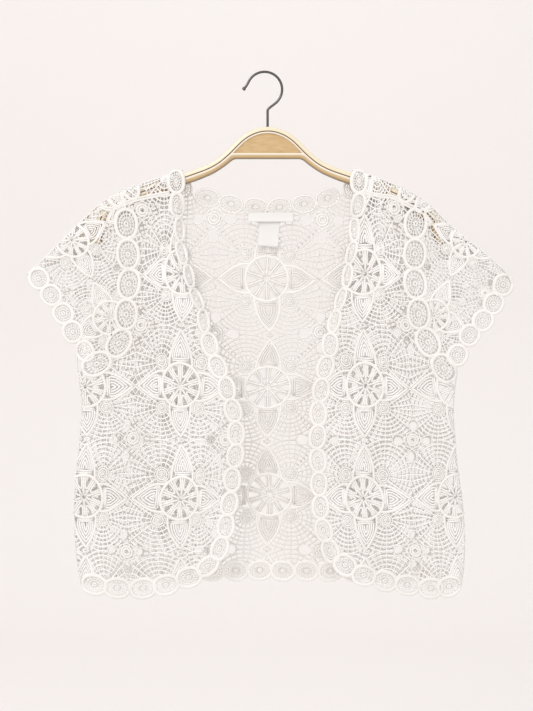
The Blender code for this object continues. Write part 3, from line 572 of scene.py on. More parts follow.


# Mercerised cotton is matt white with a soft sheen at its edges. The yarn's ply turns once in about 2 mm,
# finer than the picture shows, so it is drawn twice as coarse. The thick cords are painted a shade darker than
# the fine thread of the same yarn: painted shade that tones down the light they catch where they stand proud.
# The back's cords and thread are painted a little greyer: painted shade for the layer that hangs behind the
# fronts.
def cotton(name, dull, white):
    material, shader = new_material(name, white, Roughness=0.82, Sheen_Weight=0.22, Sheen_Roughness=0.45,
                                    Specular_IOR_Level=0.3)
    place = add_node(material, "ShaderNodeTexCoord", {}, {}, {})
    yarn = add_node(material, "ShaderNodeUVMap", {"uv_map": "yarn"}, {}, {})
    ply = add_node(material, "ShaderNodeTexWave", {"bands_direction": "DIAGONAL"},
                   {"Scale": 0.32, "Distortion": 0.4}, {"Vector": yarn.outputs["UV"]})
    fluff = add_node(material, "ShaderNodeTexNoise", {}, {"Scale": 900.0, "Detail": 2.0},
                     {"Vector": place.outputs["Object"]})
    relief = add_node(material, "ShaderNodeMath", {"operation": "ADD"}, {},
                      {0: ply.outputs["Fac"], 1: fluff.outputs["Fac"]})
    bump = add_node(material, "ShaderNodeBump", {}, {"Strength": 0.35, "Distance": 0.0004},
                    {"Height": relief.outputs["Value"]})
    feed(material, shader, "Normal", bump.outputs["Normal"])
    wash = add_node(material, "ShaderNodeTexNoise", {}, {"Scale": 14.0, "Detail": 2.0},
                    {"Vector": place.outputs["Object"]})
    tint = add_node(material, "ShaderNodeValToRGB", {}, {}, {"Fac": wash.outputs["Fac"]})
    for element, (share, colour) in zip(tint.color_ramp.elements, ((0.35, dull), (0.65, white))):
        element.position = share
        element.color = linear(colour)
    feed(material, shader, "Base Color", tint.outputs["Color"])
    return material


# The cords are painted a shade darker than the fine thread, as painted shade on the raised yarn.
corded_cotton = cotton("Mercerised cotton cord", "#EFECE8", "#F5F2EF")
fine_cotton = cotton("Fine mercerised cotton thread", "#F6F4F1", "#FAF8F6")
# The back's two copies are painted greyer, as painted shade for the layer behind the fronts.
back_cord_painted_shade = cotton("Mercerised cotton cord, back, painted shade", "#F2EFEB", "#F6F4F1")
back_thread_painted_shade = cotton("Fine mercerised cotton thread, back, painted shade", "#ECE8E4", "#F1EEEA")


def lace_piece(name, layered_cords, material, *nodes):
    """One piece of lace from its cords on the front and back layers."""
    points, faces, yarn_places, first = [], [], [], 0
    for layer, cords in layered_cords:
        if cords:
            new_points, new_faces, new_yarn = swept(cords, layer)
            points.append(new_points)
            faces += [[corner + first for corner in face] for face in new_faces] if first else new_faces
            yarn_places.append(new_yarn)
            first += len(new_points)
    mesh = bpy.data.meshes.new(name)
    mesh.from_pydata(np.concatenate(points) * MM, [], faces)
    corners = np.empty(len(mesh.loops), int)
    mesh.loops.foreach_get("vertex_index", corners)
    uv = mesh.uv_layers.new(name="yarn")
    uv.data.foreach_set("uv", np.concatenate(yarn_places)[corners].astype(np.float32).ravel())
    mesh.shade_smooth()
    piece = in_scene(name, mesh)
    finish_piece(piece, material, "cotton_lace", *nodes)
    return piece


def hung_lace(name, flat, layered_cords, thread, corded, *nodes):
    """A panel in two pieces: the ground of fine thread and the raised cords on it. Most of the lace's cut is
    air."""
    fine, raised = ([(layer, [c for c in cords if (c[1][1] < GROUND_BELOW) == is_fine])
                     for layer, cords in layered_cords] for is_fine in (True, False))
    ground = lace_piece(f"{name}_ground", fine, thread, *nodes)
    cording = lace_piece(f"{name}_cording", raised, corded)
    return ground


# Lace repeat. Each cell has a spoked wheel with four pointed leaves, four round shells between the leaves,
# webs that fan out from the shells, and small eyelet flowers in open loops at the cell's corners.
CELL_WIDTH, CELL_HEIGHT = 128.0, 140.0
WHEEL_HALF = (26.4, 27.4)
SPOKES = 10
HUB_RADIUS = 3.4
# Half of a window: share of the wheel's radius, degrees. Halves of leaves: out from the middle, across.
WINDOW_SIDE = ((0.97, 10.5), (0.86, 11.0), (0.7, 10.6), (0.57, 9.0), (0.47, 6.0), (0.42, 0.0))
LEAF_SIDE = ((20.5, 17.0), (28, 17.2), (36, 15.2), (44, 11.2), (51, 6.6), (57, 2.4), (60.5, 0.0))
LEAF_UP = ((22.5, 15.2), (30, 14.8), (39, 12.9), (47, 9.8), (54, 6.2), (60, 2.6), (64, 0.0))
LEAF_DOWN = ((22.5, 15.2), (30, 15.2), (39, 14.0), (48, 11.2), (56, 7.2), (62, 3.0), (66, 0.0))
FOUR_WAYS = ((1, 0), (-1, 0), (0, 1), (0, -1))
LEAF_HALVES = (LEAF_SIDE, LEAF_SIDE, LEAF_UP, LEAF_DOWN)
SHELL_PLACE = (26.5, 28.5)
SHELL_RADIUS = 9.6
SHELL_RINGS = ((8.7, (1.9, 1.6), 18), (6.1, (2.3, 1.2), 14), (3.6, (2.1, 1.6), 10), (1.3, (2.4, 2.6), 6))
# Lines inside a leaf: share of its width, from its foot, from its tip. Two short rows close it at the rim.
LEAF_FILL = ((0.7, 1.8, 6.5), (0.51, 2.6, 11.0), (0.32, 3.4, 16.0), (0.13, 4.2, 21.0))
LEAF_FOOT_OUT, LEAF_FEET, FEET_WIDTH = 3.0, (-0.6, 1.8), 0.72
SPOKE_CORD, WINDOW_CORD = (3.2, 1.7), (2.3, 1.2)
WEB_FIRST, WEB_STEP, WEB_COUNT = 14.6, 5.4, 8
WEB_RAYS, RAY_REACH, RAY_BOW = 19, 60.0, 0.06
WEB_STRONG, WEB_WEAK = (2.1, 1.2), (1.3, 1.0)
# Degrees from level: where arcs start, where strong cords change from rays to arcs, where arcs end; rays
WEB_FROM, WEB_TURN, WEB_TO, RAYS_FROM, RAYS_SPAN = -70, 42, 160, -65, 225
FLOWER_RADIUS = 11.8
FLOWER_RINGS, SCALLOP_CORD = ((4.0, (3.8, 1.6), 14), (7.1, (3.9, 1.4), 20)), (2.4, 1.6)
LOOP_OFFSET, LOOP_HALF = 20.0, (7.9, 6.6)
STEP, WEB_CHORD = 2.4, 3.8     # between the points of an outline and of a web


def leaf(way, half):
    """One pointed leaf: its thick outline, lines of filling inside it, and a double foot on the rim."""
    half = curved(half, STEP)
    tip, foot = half[-1, 0], (WHEEL_HALF[0] if way[0] else WHEEL_HALF[1]) + LEAF_FOOT_OUT

    def arch(share, start, end):
        out = start + (half[:, 0] - half[0, 0]) / (tip - half[0, 0]) * (end - start)
        return turned(way, np.append(out, out[-2::-1]), np.append(half[:, 1], -half[-2::-1, 1]) * share)

    cords = [cord(arch(1.0, half[0, 0], tip), OUTLINE_CORD)]
    cords += [cord(arch(share, foot + start, tip - end), LEAF_CORD) for share, start, end in LEAF_FILL]
    across = np.linspace(-1, 1, 4) * half[0, 1] * FEET_WIDTH
    return cords + [cord(turned(way, np.full(4, foot + level), across), LEAF_CORD) for level in LEAF_FEET]


def wheel():
    """A spoked wheel: a thick rim, a small hub, and ten arched windows between its spokes."""
    cords = [oval((0, 0), *WHEEL_HALF, RING_CORD, 40), oval((0, 0), HUB_RADIUS, HUB_RADIUS, BAR_CORD, 10)]
    window = curved(np.array(WINDOW_SIDE) * (WHEEL_HALF[0], 1), 2.6) / (WHEEL_HALF[0], 1)
    window = np.vstack([window, window[-2::-1] * (1, -1)])
    for spoke in range(SPOKES):
        turn = 2 * math.pi * spoke / SPOKES
        angles = turn + np.radians(window[:, 1])
        window_line = window[:, :1] * WHEEL_HALF * as_points(np.cos(angles), np.sin(angles))
        cords.append(cord(window_line, WINDOW_CORD))
        turn += math.pi / SPOKES
        share = np.linspace(0.13, 0.97, 7)[:, None]
        cords.append(cord(share * WHEEL_HALF * (math.cos(turn), math.sin(turn)), SPOKE_CORD))
    return cords


def rings(centre, rows):
    """Round rows of dense stitches, from a table of radius, cord and steps."""
    return [oval(centre, radius, radius, size, steps) for radius, size, steps in rows]


def flower(centre):
    """An eyelet flower: a dense disc with a hole and eight small scallops, among four open loops."""
    turns = full_circle(40)
    scallop = FLOWER_RADIUS - 2.2 + 1.7 * np.abs(np.cos(4 * turns))
    cords = rings(centre, FLOWER_RINGS)
    edge = centre + as_points(scallop * np.cos(turns), scallop * np.sin(turns))
    cords.append(cord(edge, SCALLOP_CORD, True))
    for turn in turns[2::5]:
        way = np.array([math.cos(turn), math.sin(turn)])
        cords.append(cord(centre + np.outer((FLOWER_RINGS[1][0], FLOWER_RADIUS - 2), way), BAR_CORD))
    turns = full_circle(18)
    out = LOOP_OFFSET + LOOP_HALF[0] * np.cos(turns)
    across = LOOP_HALF[1] * np.sin(turns) * (1 + 0.18 * np.cos(turns))
    return cords + [cord(centre + turned(way, out, across), BAR_CORD, True) for way in FOUR_WAYS]


leaves = [leaf(way, half) for way, half in zip(FOUR_WAYS, LEAF_HALVES)]
corners = np.array([(x, z) for x in (-1, 1) for z in (-1, 1)])
shells, flowers = corners * SHELL_PLACE, corners * (CELL_WIDTH / 2, CELL_HEIGHT / 2)
corner_flower = flower(flowers[0])
motifs = wheel() + sum(leaves, [])
for centre in shells:
    motifs += rings(centre, SHELL_RINGS)


def outside_oval(points, centre, half_width, half_height):
    return np.hypot((points[:, 0] - centre[0]) / half_width, (points[:, 1] - centre[1]) / half_height) > 1.0


def in_open_web(points):
    """Which points of a cell lie in its web, outside the wheel, leaves, shells and flowers."""
    free = (np.abs(points[:, 0]) <= CELL_WIDTH / 2 + 0.2) & (np.abs(points[:, 1]) <= CELL_HEIGHT / 2 + 0.2)
    free &= outside_oval(points, (0, 0), *WHEEL_HALF)
    for leaf_cords in leaves:
        free &= ~inside(points, leaf_cords[0][0])
    for centre in shells:
        free &= outside_oval(points, centre, SHELL_RADIUS - 0.9, SHELL_RADIUS - 0.9)
    for centre in flowers:
        free &= outside_oval(points, centre, FLOWER_RADIUS - 1.2, FLOWER_RADIUS - 1.2)
        for way in FOUR_WAYS:
            half = LOOP_HALF if way[0] else LOOP_HALF[::-1]
            free &= outside_oval(points, centre + LOOP_OFFSET * np.array(way), *half)
    return free


cell = motifs
for centre, hand in zip(shells, corners):
    web = []
    for radius in WEB_FIRST + WEB_STEP * np.arange(WEB_COUNT):
        for start, stop, size in ((WEB_FROM, WEB_TURN, WEB_WEAK), (WEB_TURN, WEB_TO, WEB_STRONG)):
            count = max(6, int(radius * math.radians(stop - start) / WEB_CHORD))
            angles = np.radians(np.linspace(start, stop, count))
            web.append(cord(centre + radius * hand * as_points(np.cos(angles), np.sin(angles)), size))
    for ray in range(WEB_RAYS):
        level = RAYS_FROM + RAYS_SPAN * ray / (WEB_RAYS - 1)
        start = SHELL_RADIUS - 0.5 if ray % 2 == 0 else WEB_FIRST + WEB_STEP
        radii = np.linspace(start, RAY_REACH, 14)
        bow = math.radians(level) + RAY_BOW * np.sin((radii - start) / RAY_REACH * math.pi)
        web.append(cord(centre + radii[:, None] * hand * as_points(np.cos(bow), np.sin(bow)),
                        WEB_STRONG if abs(level) < WEB_TURN or level > 180 - WEB_TURN else WEB_WEAK))
    cell = cell + trimmed(web, lambda points: in_open_web(points) & (points * hand >= -0.2).all(axis=1))


def swayed(points):
    """The cloth never hangs quite true: it strays a little over each hand's breadth."""
    x, z = points.T
    return points + as_points(1.5 * np.sin(z / 31 + x / 67) + 0.9 * np.sin(z / 17 - x / 29 + 2.0),
                              1.3 * np.sin(x / 37 - z / 83 + 1.0) + 0.8 * np.sin(x / 19 + z / 23))


def lace(columns, rows, warp, keep, scale=1.0):
    """The cells from the first to the last column and from the top to the lowest row, with flowers at their
    corners, taken to the front view and cut to their panel. Only ground threads take the scale."""
    laid = []
    for cords, more in ((cell, 0), (corner_flower, 1)):
        for row in range(rows[0] + more, rows[1] - 1, -1):
            for column in range(columns[0], columns[1] + 1 + more):
                for points, (width, height), closed in cords:
                    share = scale if height < GROUND_BELOW else 1.0
                    hung = swayed(warp(points + (column * CELL_WIDTH, row * CELL_HEIGHT)))
                    laid.append((hung, (width * share, height), closed))
    return trimmed(laid, keep)


# Edging. A chain of oval medallions goes round every open edge and over both armholes, each with a thick rim
# and a fine web. It is worked in one with the lace, and its rims make the scalloped edge.
SCALLOP_PITCH, SCALLOP_DEPTH = 30.0, 4.0
HEM_LEFT = ((-229, -640), (-204, -649), (-170, -651), (-140, -651), (-105, -643), (-75, -630))
HEM_RIGHT = ((246, -640), (225, -651), (190, -649), (150, -643), (115, -633), (82, -612))
HEM_BACK = ((-229, -640), (-150, -637), (-60, -634), (8, -634), (80, -634), (165, -637), (246, -640))
NECK_BACK = ((109.4, -121.5), (102, -138), (75, -147), (42, -155), (4, -158), (-34, -155),
             (-67, -147), (-94, -138), (-101.9, -121.5))
CUFF_LEFT = ((-297, -252), (-279, -276), (-263, -298), (-248, -326), (-234.4, -350))
CUFF_RIGHT = ((309, -263), (297, -287), (279, -316), (256, -342), (241, -374))
ARMHOLE_LEFT = ((-173, -146.4), (-172, -188), (-169.5, -225), (-168, -262), (-171, -300),
                (-180, -337), (-204, -361), (-233, -374))
ARMHOLE_RIGHT = ((188, -153), (188, -188), (187, -225), (187, -262), (191, -300),
                 (203, -337), (221, -366), (237.5, -396))
HEM_HALF, FRONT_HALF, NECK_HALF, ROLLED_HALF, ARMHOLE_HALF = 13.8, 11.8, 13.0, 7.6, 15.5
ARMHOLE_PITCH, ARMHOLE_STARTS = 37.5, (43.5, 36.5)
CUFF_PITCH, CUFF_STARTS = 26.3, (14, 19)
RIM_CORD, CROSSED_RIM_CORD = (4.8, 2.4), (4.5, 3.0)     # every other rim lies over its neighbours
NECK_RIM_CORD = (3.0, 1.6)     # the neck shows its inner side
MEDALLION_OVERLAP = 0.7     # the rims of neighbours run into one another
MEDALLION_SQUARENESS = 0.92     # 1 is an oval, less is squarer
# Rings inside a rim: share of its size, steps, cord
MEDALLION_ROWS = ((0.68, 16, FINE_CORD), (0.44, 12, FINE_CORD), (0.15, 8, (2.6, 2.2)))
MEDALLION_RAYS = 16
MEDALLION_STRAY = math.radians(7)     # how far a medallion turns out of its row
SHOULDER_MEDALLIONS = {"left": ((-187, 8.5), (-167, 9.5)),     # x, half width
                       "right": ((179, 9.5), (200, 8.5))}
SHOULDER_BANDS = {"left": ((-205, -167), (-196, -170.5), (-187, -170), (-174, -164), (-159, -159),
                           (-143, -155.5), (-118, -150.5)),
                  "right": ((209, -170), (202, -172.5), (193, -171.5), (184, -168.5), (174, -163.5),
                            (159, -156), (143, -154), (122, -149))}
BAND_CORDS = (-1.5, 1.4)     # a band is two cords side by side
BAND_CORD, FOLD_CORD = (3.0, 2.2), (3.2, 2.4)
UNDERARM_MEDALLION = ((-222.5, -347.5), (0.45, -0.893), 12.5, 10.0)     # centre, way, half along, half across


def medallion(centre, way, half_along, half_across, rim=RIM_CORD):
    """A medallion's rim, dense web and flower, squarish along its edge."""
    made = []
    for share, steps, size in ((1.0, 26, rim), *MEDALLION_ROWS):
        turns = full_circle(steps)
        c, s = (np.sign(wave) * np.abs(wave) ** MEDALLION_SQUARENESS
                for wave in (np.cos(turns), np.sin(turns)))
        made.append(cord(centre + turned(way, half_along * share * c, half_across * share * s), size, True))
    for ray in range(MEDALLION_RAYS):
        angle = 2 * math.pi * (ray + 0.5) / MEDALLION_RAYS
        share = np.array([0.2, 0.6, 0.95])
        made.append(cord(centre + turned(way, half_along * math.cos(angle) * share,
                                         half_across * math.sin(angle) * share), FINE_CORD))
    return made


class Chain:
    """Medallions along an edge that has the panel on its left. Half a medallion's width is across."""

    def __init__(self, rows, across, pitch=SCALLOP_PITCH, start=None, centred=False,
                 rims=(RIM_CORD, CROSSED_RIM_CORD)):
        self.rims = rims
        path = curved(rows, 1.0)
        length = len(path) - 1
        if start is None:
            count = max(1, round(length / pitch))
            middles = np.array([round((i + 0.5) * length / count) for i in range(count)])
            pitch = length / count
        else:
            middles = np.arange(start, length, pitch).astype(int)
        half = across(path[:, 1]) if callable(across) else np.full(len(path), across)
        self.middle_line = beside(path, half * 0 if centred else SCALLOP_DEPTH - half)
        self.centres = self.middle_line[middles]
        stray = MEDALLION_STRAY * np.sin(2.4 * np.arange(len(middles)) + length)
        self.ways = turned((np.cos(stray), np.sin(stray)), *ways_along(self.middle_line)[middles].T)
        self.half_along = pitch / 2 + MEDALLION_OVERLAP - RIM_CORD[0] / 4
        self.half_across = half[middles] - RIM_CORD[0] / 2

    def cords(self):
        made = []
        for number, (centre, way, half_across) in enumerate(zip(self.centres, self.ways, self.half_across)):
            made += medallion(centre, way, self.half_along, half_across, self.rims[number % 2])
        return made

    def outside(self, points):
        """Which points lie outside every medallion."""
        free = np.ones(len(points), bool)
        for centre, way, half_across in zip(self.centres, self.ways, self.half_across):
            along, over = np.abs(turned(way * (1, -1), *(points - centre).T).T)
            free &= ((along / self.half_along) ** (2 / MEDALLION_SQUARENESS)
                     + (over / half_across) ** (2 / MEDALLION_SQUARENESS)) > 1.0
        return free


def front_half(z):
    """The front chain looks narrower where the edge rolls in."""
    return FRONT_HALF + (ROLLED_HALF - FRONT_HALF) * roll_strength(z)


def side_line(side, start_z, end_z):
    heights = np.linspace(start_z, end_z, 40)
    return as_points(along_table(side, heights, 1, 0), heights)


def shoulder_line(start_x, end_x):
    places = np.linspace(start_x, end_x, 60)
    return as_points(places, shoulder_z(places))


chains = {
    "hem_left": Chain(HEM_LEFT, HEM_HALF),
    "hem_right": Chain(HEM_RIGHT[::-1], HEM_HALF),
    "hem_back": Chain(HEM_BACK, HEM_HALF),
    "front_left": Chain(FRONT_EDGE_LEFT, front_half),
    "front_right": Chain(FRONT_EDGE_RIGHT[::-1], front_half),
    "neck": Chain(NECK_BACK, NECK_HALF, rims=(NECK_RIM_CORD, NECK_RIM_CORD)),
    "cuff_left": Chain(CUFF_LEFT, HEM_HALF, CUFF_PITCH, CUFF_STARTS[0]),
    "cuff_right": Chain(CUFF_RIGHT[::-1], HEM_HALF, CUFF_PITCH, CUFF_STARTS[1]),
    "armhole_left": Chain(ARMHOLE_LEFT, ARMHOLE_HALF, ARMHOLE_PITCH, ARMHOLE_STARTS[0], centred=True),
    "armhole_right": Chain(ARMHOLE_RIGHT, ARMHOLE_HALF, ARMHOLE_PITCH, ARMHOLE_STARTS[1], centred=True),
}
LEFT_TOP, RIGHT_TOP = SHOULDER_LEFT[0][0], SHOULDER_RIGHT[0][0]
armhole_left, armhole_right = curved(ARMHOLE_LEFT, 4.0), curved(ARMHOLE_RIGHT, 4.0)
body_left = np.vstack([shoulder_line(LEFT_TOP, ARMHOLE_LEFT[0][0]), armhole_left,
                       side_line(SIDE_LEFT, ARMHOLE_LEFT[-1][1], SIDE_LEFT[-1][1])])
body_right = np.vstack([side_line(SIDE_RIGHT, SIDE_RIGHT[-1][1], ARMHOLE_RIGHT[-1][1]), armhole_right[::-1],
                        shoulder_line(ARMHOLE_RIGHT[0][0], RIGHT_TOP)])
outlines = {
    "front_left": np.vstack([HEM_LEFT, curved(FRONT_EDGE_LEFT, 5.0), body_left]),
    "front_right": np.vstack([curved(FRONT_EDGE_RIGHT[::-1], 5.0), HEM_RIGHT[::-1], body_right]),
    "back": np.vstack([curved(NECK_BACK, 5.0), body_left, HEM_BACK, body_right]),
    "sleeve_left": np.vstack([
        shoulder_line(ARMHOLE_LEFT[0][0], SHOULDER_LEFT[-1][0]), CUFF_LEFT,
        side_line(SIDE_LEFT, SIDE_LEFT[0][1], ARMHOLE_LEFT[-1][1]), armhole_left[::-1]]),
    "sleeve_right": np.vstack([
        side_line(SIDE_RIGHT, ARMHOLE_RIGHT[-1][1], SIDE_RIGHT[0][1]), CUFF_RIGHT[::-1],
        shoulder_line(SHOULDER_RIGHT[-1][0], ARMHOLE_RIGHT[0][0]), armhole_right]),
}


def shoulder_cords(side):
    """Medallions folded over a shoulder, and the band of two cords that the armhole chain hangs from."""
    made = []
    for place_x, half_width in SHOULDER_MEDALLIONS[side]:
        here, there = shoulder_line(place_x, place_x + 2)[[0, -1]]
        made += medallion(here, (there - here) / np.linalg.norm(there - here), half_width, ARMHOLE_HALF)
    band = curved(SHOULDER_BANDS[side], 2.4)
    made += [cord(beside(band, offset), BAND_CORD) for offset in BAND_CORDS]
    return trimmed(made, lambda points: points[:, 1] < shoulder_z(points[:, 0]) - 0.4)


def edging_cords(*names):
    return [c for name in names for c in chains[name].cords()]


def on_panel_side(points, line):
    """Which points are on the left of a line, seen along it, judged at its nearest stretch."""
    line = line[::4]
    right = to_right(line)
    side = np.ones(len(points), bool)
    for start in range(0, len(points), 20000):
        block = points[start:start + 20000]
        gap = ((block[:, None, :] - line[None, :, :]) ** 2).sum(axis=2)
        nearest = gap.argmin(axis=1)
        left = ((block - line[nearest]) * right[nearest]).sum(axis=1) < 0
        side[start:start + 20000] = left | (gap.min(axis=1) > 30.0**2)
    return side


def keeper(outline, own_edges, *armholes):
    """A test for a panel's lace: inside its outline, outside all chains, on the panel's side of its own."""
    def keep(points):
        kept = inside(points, outlines[outline])
        for chain in (*own_edges, *armholes):
            kept &= chains[chain].outside(points)
        for chain in own_edges:
            kept &= on_panel_side(points, chains[chain].middle_line)
        return kept
    return keep


# Back. One panel of the lace, its wheels in rows and columns, cut at the neck, shoulders, armholes, sides and
# hem. Tables give where each half cell of the repeat comes to hang.
HALF_ROWS = (-668, -598, -530, -461, -393, -325, -256, -182, -110)        # row -3 up to row 1, in half cells
BACK_HALF_COLUMNS = (-290, -229, -176, -121, -62.5, 4.6, 70.5, 130, 185, 240, 300)   # column -2.5 to 2.5


def lattice_warp(columns, first_column, rows, first_row, shifts=None):
    """A function from lattice mm to the front view's x, z, through the places of its half cells."""
    column_table = [(first_column + i / 2, x) for i, x in enumerate(columns)]
    row_table = [(first_row + i / 2, z) for i, z in enumerate(rows)]

    def warp(points):
        u, v = points[:, 0] / CELL_WIDTH, points[:, 1] / CELL_HEIGHT
        x = along_table(column_table, u)
        if shifts:
            x = x + along_table(shifts, v) * np.sin(np.pi * u) ** 2
        return as_points(x, along_table(row_table, v))
    return warp


BACK_FLAT = (503.0, 520.0)     # its cut, over its waves
BODY_ROWS = (1, -3)

joins = [cord(shoulder_line(LEFT_TOP, SHOULDER_LEFT[-1][0]), FOLD_CORD),
         cord(shoulder_line(RIGHT_TOP, SHOULDER_RIGHT[-1][0]), FOLD_CORD),
         cord(side_line(SIDE_LEFT, SIDE_LEFT[0][1], SIDE_LEFT[-1][1]), BAR_CORD),
         cord(side_line(SIDE_RIGHT, SIDE_RIGHT[0][1], SIDE_RIGHT[-1][1]), BAR_CORD)]
back_edges, armholes = ("neck", "hem_back"), ("armhole_left", "armhole_right")
back_cords = lace((-2, 2), BODY_ROWS, lattice_warp(BACK_HALF_COLUMNS, -2.5, HALF_ROWS, -3.0),
                  keeper("back", back_edges, *armholes))
back_cords += edging_cords(*back_edges, *armholes) + shoulder_cords("left") + shoulder_cords("right") + joins
back_ground = hung_lace("back", BACK_FLAT, [(BACK, back_cords)], back_thread_painted_shade, back_cord_painted_shade, "back")

# Fronts. Two panels that hang open, each with one full column of wheels and part of a second one that goes
# round the side.
FRONT_HALF_ROWS = (-668, -596, -530, -457, -392, -316, -254, -171, -105)
# Columns from and to, x of the half columns, number of the first one, how far each row's corner flowers lie to
# the right, and the flat cut
FRONTS = {"left": ((-1, 0), (-278, -222, -160, -103.5, -45, 14), -1.5,
                   ((-2.5, -10), (-1.5, -4), (-0.5, 6), (0.5, 10)), (212.0, 536.0)),
          "right": ((0, 1), (4, 62, 124, 177, 238, 292), -1.0,
                    ((-2.5, 10), (-1.5, 6), (-0.5, -1), (0.5, -15)), (194.0, 536.0))}

for side, (columns, half_columns, first_column, shifts, flat) in FRONTS.items():
    own_edges, armhole = (f"hem_{side}", f"front_{side}"), f"armhole_{side}"
    warp = lattice_warp(half_columns, first_column, FRONT_HALF_ROWS, -3.0, shifts)
    front_cords = lace(columns, BODY_ROWS, warp, keeper(f"front_{side}", own_edges, armhole))
    front_cords += edging_cords(*own_edges, armhole) + shoulder_cords(side)
    hung_lace(f"front_{side}", flat, [(FRONT, front_cords)], fine_cotton, corded_cotton, f"front_{side}")

# Cap sleeves. Each is one piece of the lace on the slant, folded over the shoulder and sewn in under the
# armhole chain, so the repeat runs on from its front to its back across the fold.
SLEEVES = {"left": (SHOULDER_LEFT, (-240.0, -209.0), 27.0, 0.78),     # fold, its wheel's place, tilt, scale
           "right": (SHOULDER_RIGHT, (251.0, -210.0), -24.4, 0.72)}
SLEEVE_FLAT = (194.0, 268.0)     # along the shoulder fold, and across it from underarm to underarm

for side, (shoulder, origin, tilt, scale) in SLEEVES.items():
    tilt = math.radians(tilt)
    slant = np.array([[math.cos(tilt), math.sin(tilt)], [-math.sin(tilt), math.cos(tilt)]]) * scale
    fold_start, fold_end = np.array(shoulder[3], float), np.array(shoulder[-2], float)
    fold_way = (fold_end - fold_start) / np.linalg.norm(fold_end - fold_start)

    def to_front(points):
        return origin + points @ slant

    def to_back(points):
        """The back layer shows the lace that lies beyond the fold, turned over it."""
        off = to_front(points) - fold_start
        return fold_start + 2 * (off @ fold_way)[:, None] * fold_way - off

    keep = keeper(f"sleeve_{side}", (f"cuff_{side}",), f"armhole_{side}")
    cuff = edging_cords(f"cuff_{side}")
    if side == "left":
        centre, way, half_along, half_across = UNDERARM_MEDALLION
        cuff += medallion(np.array(centre), np.array(way), half_along, half_across, CROSSED_RIM_CORD)
    layers = [(layer, lace((-1, 1), (2, -2), warp, keep, scale) + cuff)
              for layer, warp in ((FRONT, to_front), (BACK, to_back))]
    hung_lace(f"sleeve_{side}", SLEEVE_FLAT, layers, fine_cotton, corded_cotton, f"sleeve_{side}_front",
              f"sleeve_{side}_back")


# Labels. A short satin tape sewn under the back neck edge by its ends, and a smaller care tag that hangs out
# from under it. Both are left bare.
NECK_LABEL = (-21.0, 37.0, -185.4, -173.5)      # x from, x to, z from, z to
CARE_LABEL = (-6.2, 19.4, -216.5, -183.5)
CARE_LEAN = math.radians(-4)     # it hangs a little askew
LABEL_THICKNESS, LABEL_OFF_CLOTH, LABEL_GRID = 0.35, 1.9, (24, 14)
NECK_CURL, CARE_CURL, NECK_ABOVE_CARE = 2.4, 3.6, 0.8

satin, satin_shader = new_material("White woven satin tape", "#E9E7E4", Roughness=0.5, Sheen_Weight=0.3,
                                   Specular_IOR_Level=0.4)
satin_place = add_node(satin, "ShaderNodeTexCoord", {}, {}, {})
picks = add_node(satin, "ShaderNodeTexWave", {"bands_direction": "Z"}, {"Scale": 420.0, "Distortion": 0.6},
                 {"Vector": satin_place.outputs["Object"]})
satin_bump = add_node(satin, "ShaderNodeBump", {}, {"Strength": 0.25, "Distance": 0.0002},
                      {"Height": picks.outputs["Fac"]})
feed(satin, satin_shader, "Normal", satin_bump.outputs["Normal"])


def label(name, place, lift, curl, lean=0.0):
    """A tape before the back's inner face. Its lower edge stands off by its curl; it leans about its top."""
    from_x, to_x, from_z, to_z = place
    across, up = (share.ravel() for share in np.meshgrid(np.linspace(0, 1, LABEL_GRID[0]),
                                                         np.linspace(0, 1, LABEL_GRID[1])))
    x, z = from_x + (to_x - from_x) * across, from_z + (to_z - from_z) * up
    stand = curl * (1 - up) ** 2 + 0.5 * np.sin(across * 5.0 + 1.0) * (1 - up)
    off_x, off_z = x - (from_x + to_x) / 2, z - to_z
    x = x + off_x * (math.cos(lean) - 1) - off_z * math.sin(lean)
    z = z + off_x * math.sin(lean) + off_z * (math.cos(lean) - 1)
    y = cloth_y(x, z, BACK) - lift - stand
    corner = np.arange(len(x)).reshape(LABEL_GRID[::-1])
    faces = np.stack([corner[:-1, :-1], corner[:-1, 1:], corner[1:, 1:], corner[1:, :-1]], axis=-1)
    faces = faces.reshape(-1, 4)
    mesh = bpy.data.meshes.new(name)
    mesh.from_pydata(as_points(x, y, z) * MM, [], faces.tolist())
    mesh.shade_smooth()
    tape = in_scene(name, mesh)
    tape_wall = tape.modifiers.new("Tape thickness", "SOLIDIFY")
    tape_wall.thickness = LABEL_THICKNESS * MM
    tape_wall.offset = 0.0
    return tape


care_tag = label("care_tag", CARE_LABEL, LABEL_OFF_CLOTH, CARE_CURL, CARE_LEAN)
finish_piece(care_tag, satin, "satin_label", "care_label")
neck_tape = label("neck_tape", NECK_LABEL, LABEL_OFF_CLOTH + NECK_ABOVE_CARE, NECK_CURL)
finish_piece(neck_tape, satin, "satin_label", "neck_label")


# The floor and wall are one pale paper sweep far behind the garment. A large soft window light comes from the
# front left and a second light washes the wall, with an even light all round. The camera looks straight on.
CAMERA_DISTANCE, VIEW_CENTRE, VIEW_HEIGHT, SENSOR = 1600.0, (2.5, -353.0), 888.75, 36.0
# The stage and the lights are in metres
FLOOR_Z, WALL_Y, WALL_TOP, SWEEP_RADIUS, STAGE_REACH = -1.25, 3.6, 4.0, 1.2, 7.0
GARMENT_MIDDLE, WALL_MIDDLE = (0.0, 0.0, -0.35), (0.0, WALL_Y, -0.4)

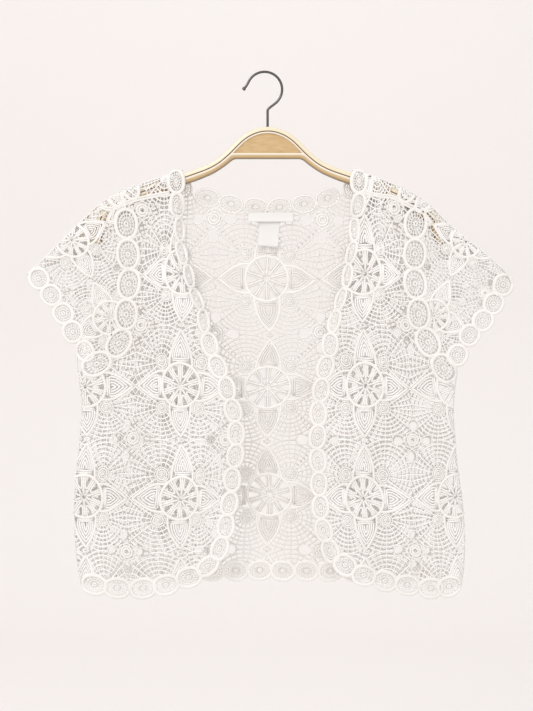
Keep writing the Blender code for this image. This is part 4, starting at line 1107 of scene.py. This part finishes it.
# Matt paper with no sheen, so that the wall looks flat and even.
paper, _ = new_material("Pale studio paper", "#EBE7E5", Roughness=0.9)
turns = np.linspace(0, math.pi / 2, 20)
profile = [(-STAGE_REACH, FLOOR_Z)]
profile += [(WALL_Y - SWEEP_RADIUS + SWEEP_RADIUS * math.sin(t), FLOOR_Z + SWEEP_RADIUS * (1 - math.cos(t)))
            for t in turns]
profile += [(WALL_Y, WALL_TOP)]
sweep_mesh = bpy.data.meshes.new("floor_sweep")
sweep_mesh.from_pydata([(x, y, z) for y, z in profile for x in (-STAGE_REACH, STAGE_REACH)], [],
                       [(2 * i, 2 * i + 1, 2 * i + 3, 2 * i + 2) for i in range(len(profile) - 1)])
sweep_mesh.shade_smooth()
sweep_mesh.materials.append(paper)
in_scene("floor_sweep", sweep_mesh)


def soft_light(name, place, size, watts, colour, aim_at):
    lamp = bpy.data.lights.new(name, "AREA")
    lamp.shape = "RECTANGLE"
    lamp.size, lamp.size_y = size
    lamp.energy = watts
    lamp.color = linear(colour)[:3]
    light = in_scene(name, lamp)
    light.location = place
    aim = np.array(aim_at) - np.array(place)
    light.rotation_euler = (math.atan2(np.hypot(*aim[:2]), -aim[2]), 0.0, math.atan2(-aim[0], aim[1]))


soft_light("window_light", (-1.3, -2.2, 1.5), (1.2, 1.2), 24.0, "#FFFBF8", GARMENT_MIDDLE)
soft_light("wall_light", (0.0, 1.0, 2.2), (4.0, 1.0), 15.0, "#FFFDFA", WALL_MIDDLE)
world = bpy.data.worlds.new("Even studio light")
world.use_nodes = True
world.node_tree.nodes["Background"].inputs["Color"].default_value = linear("#FAF9F9")
world.node_tree.nodes["Background"].inputs["Strength"].default_value = 1.06
bpy.context.scene.world = world
bpy.context.scene.view_settings.view_transform = "Standard"

lens = bpy.data.cameras.new("camera")
lens.sensor_width = SENSOR
lens.lens = SENSOR * CAMERA_DISTANCE / VIEW_HEIGHT
camera = in_scene("camera", lens)
camera.location = (VIEW_CENTRE[0] * MM, -CAMERA_DISTANCE * MM, VIEW_CENTRE[1] * MM)
camera.rotation_euler = (math.pi / 2, 0.0, 0.0)
bpy.context.scene.camera = camera
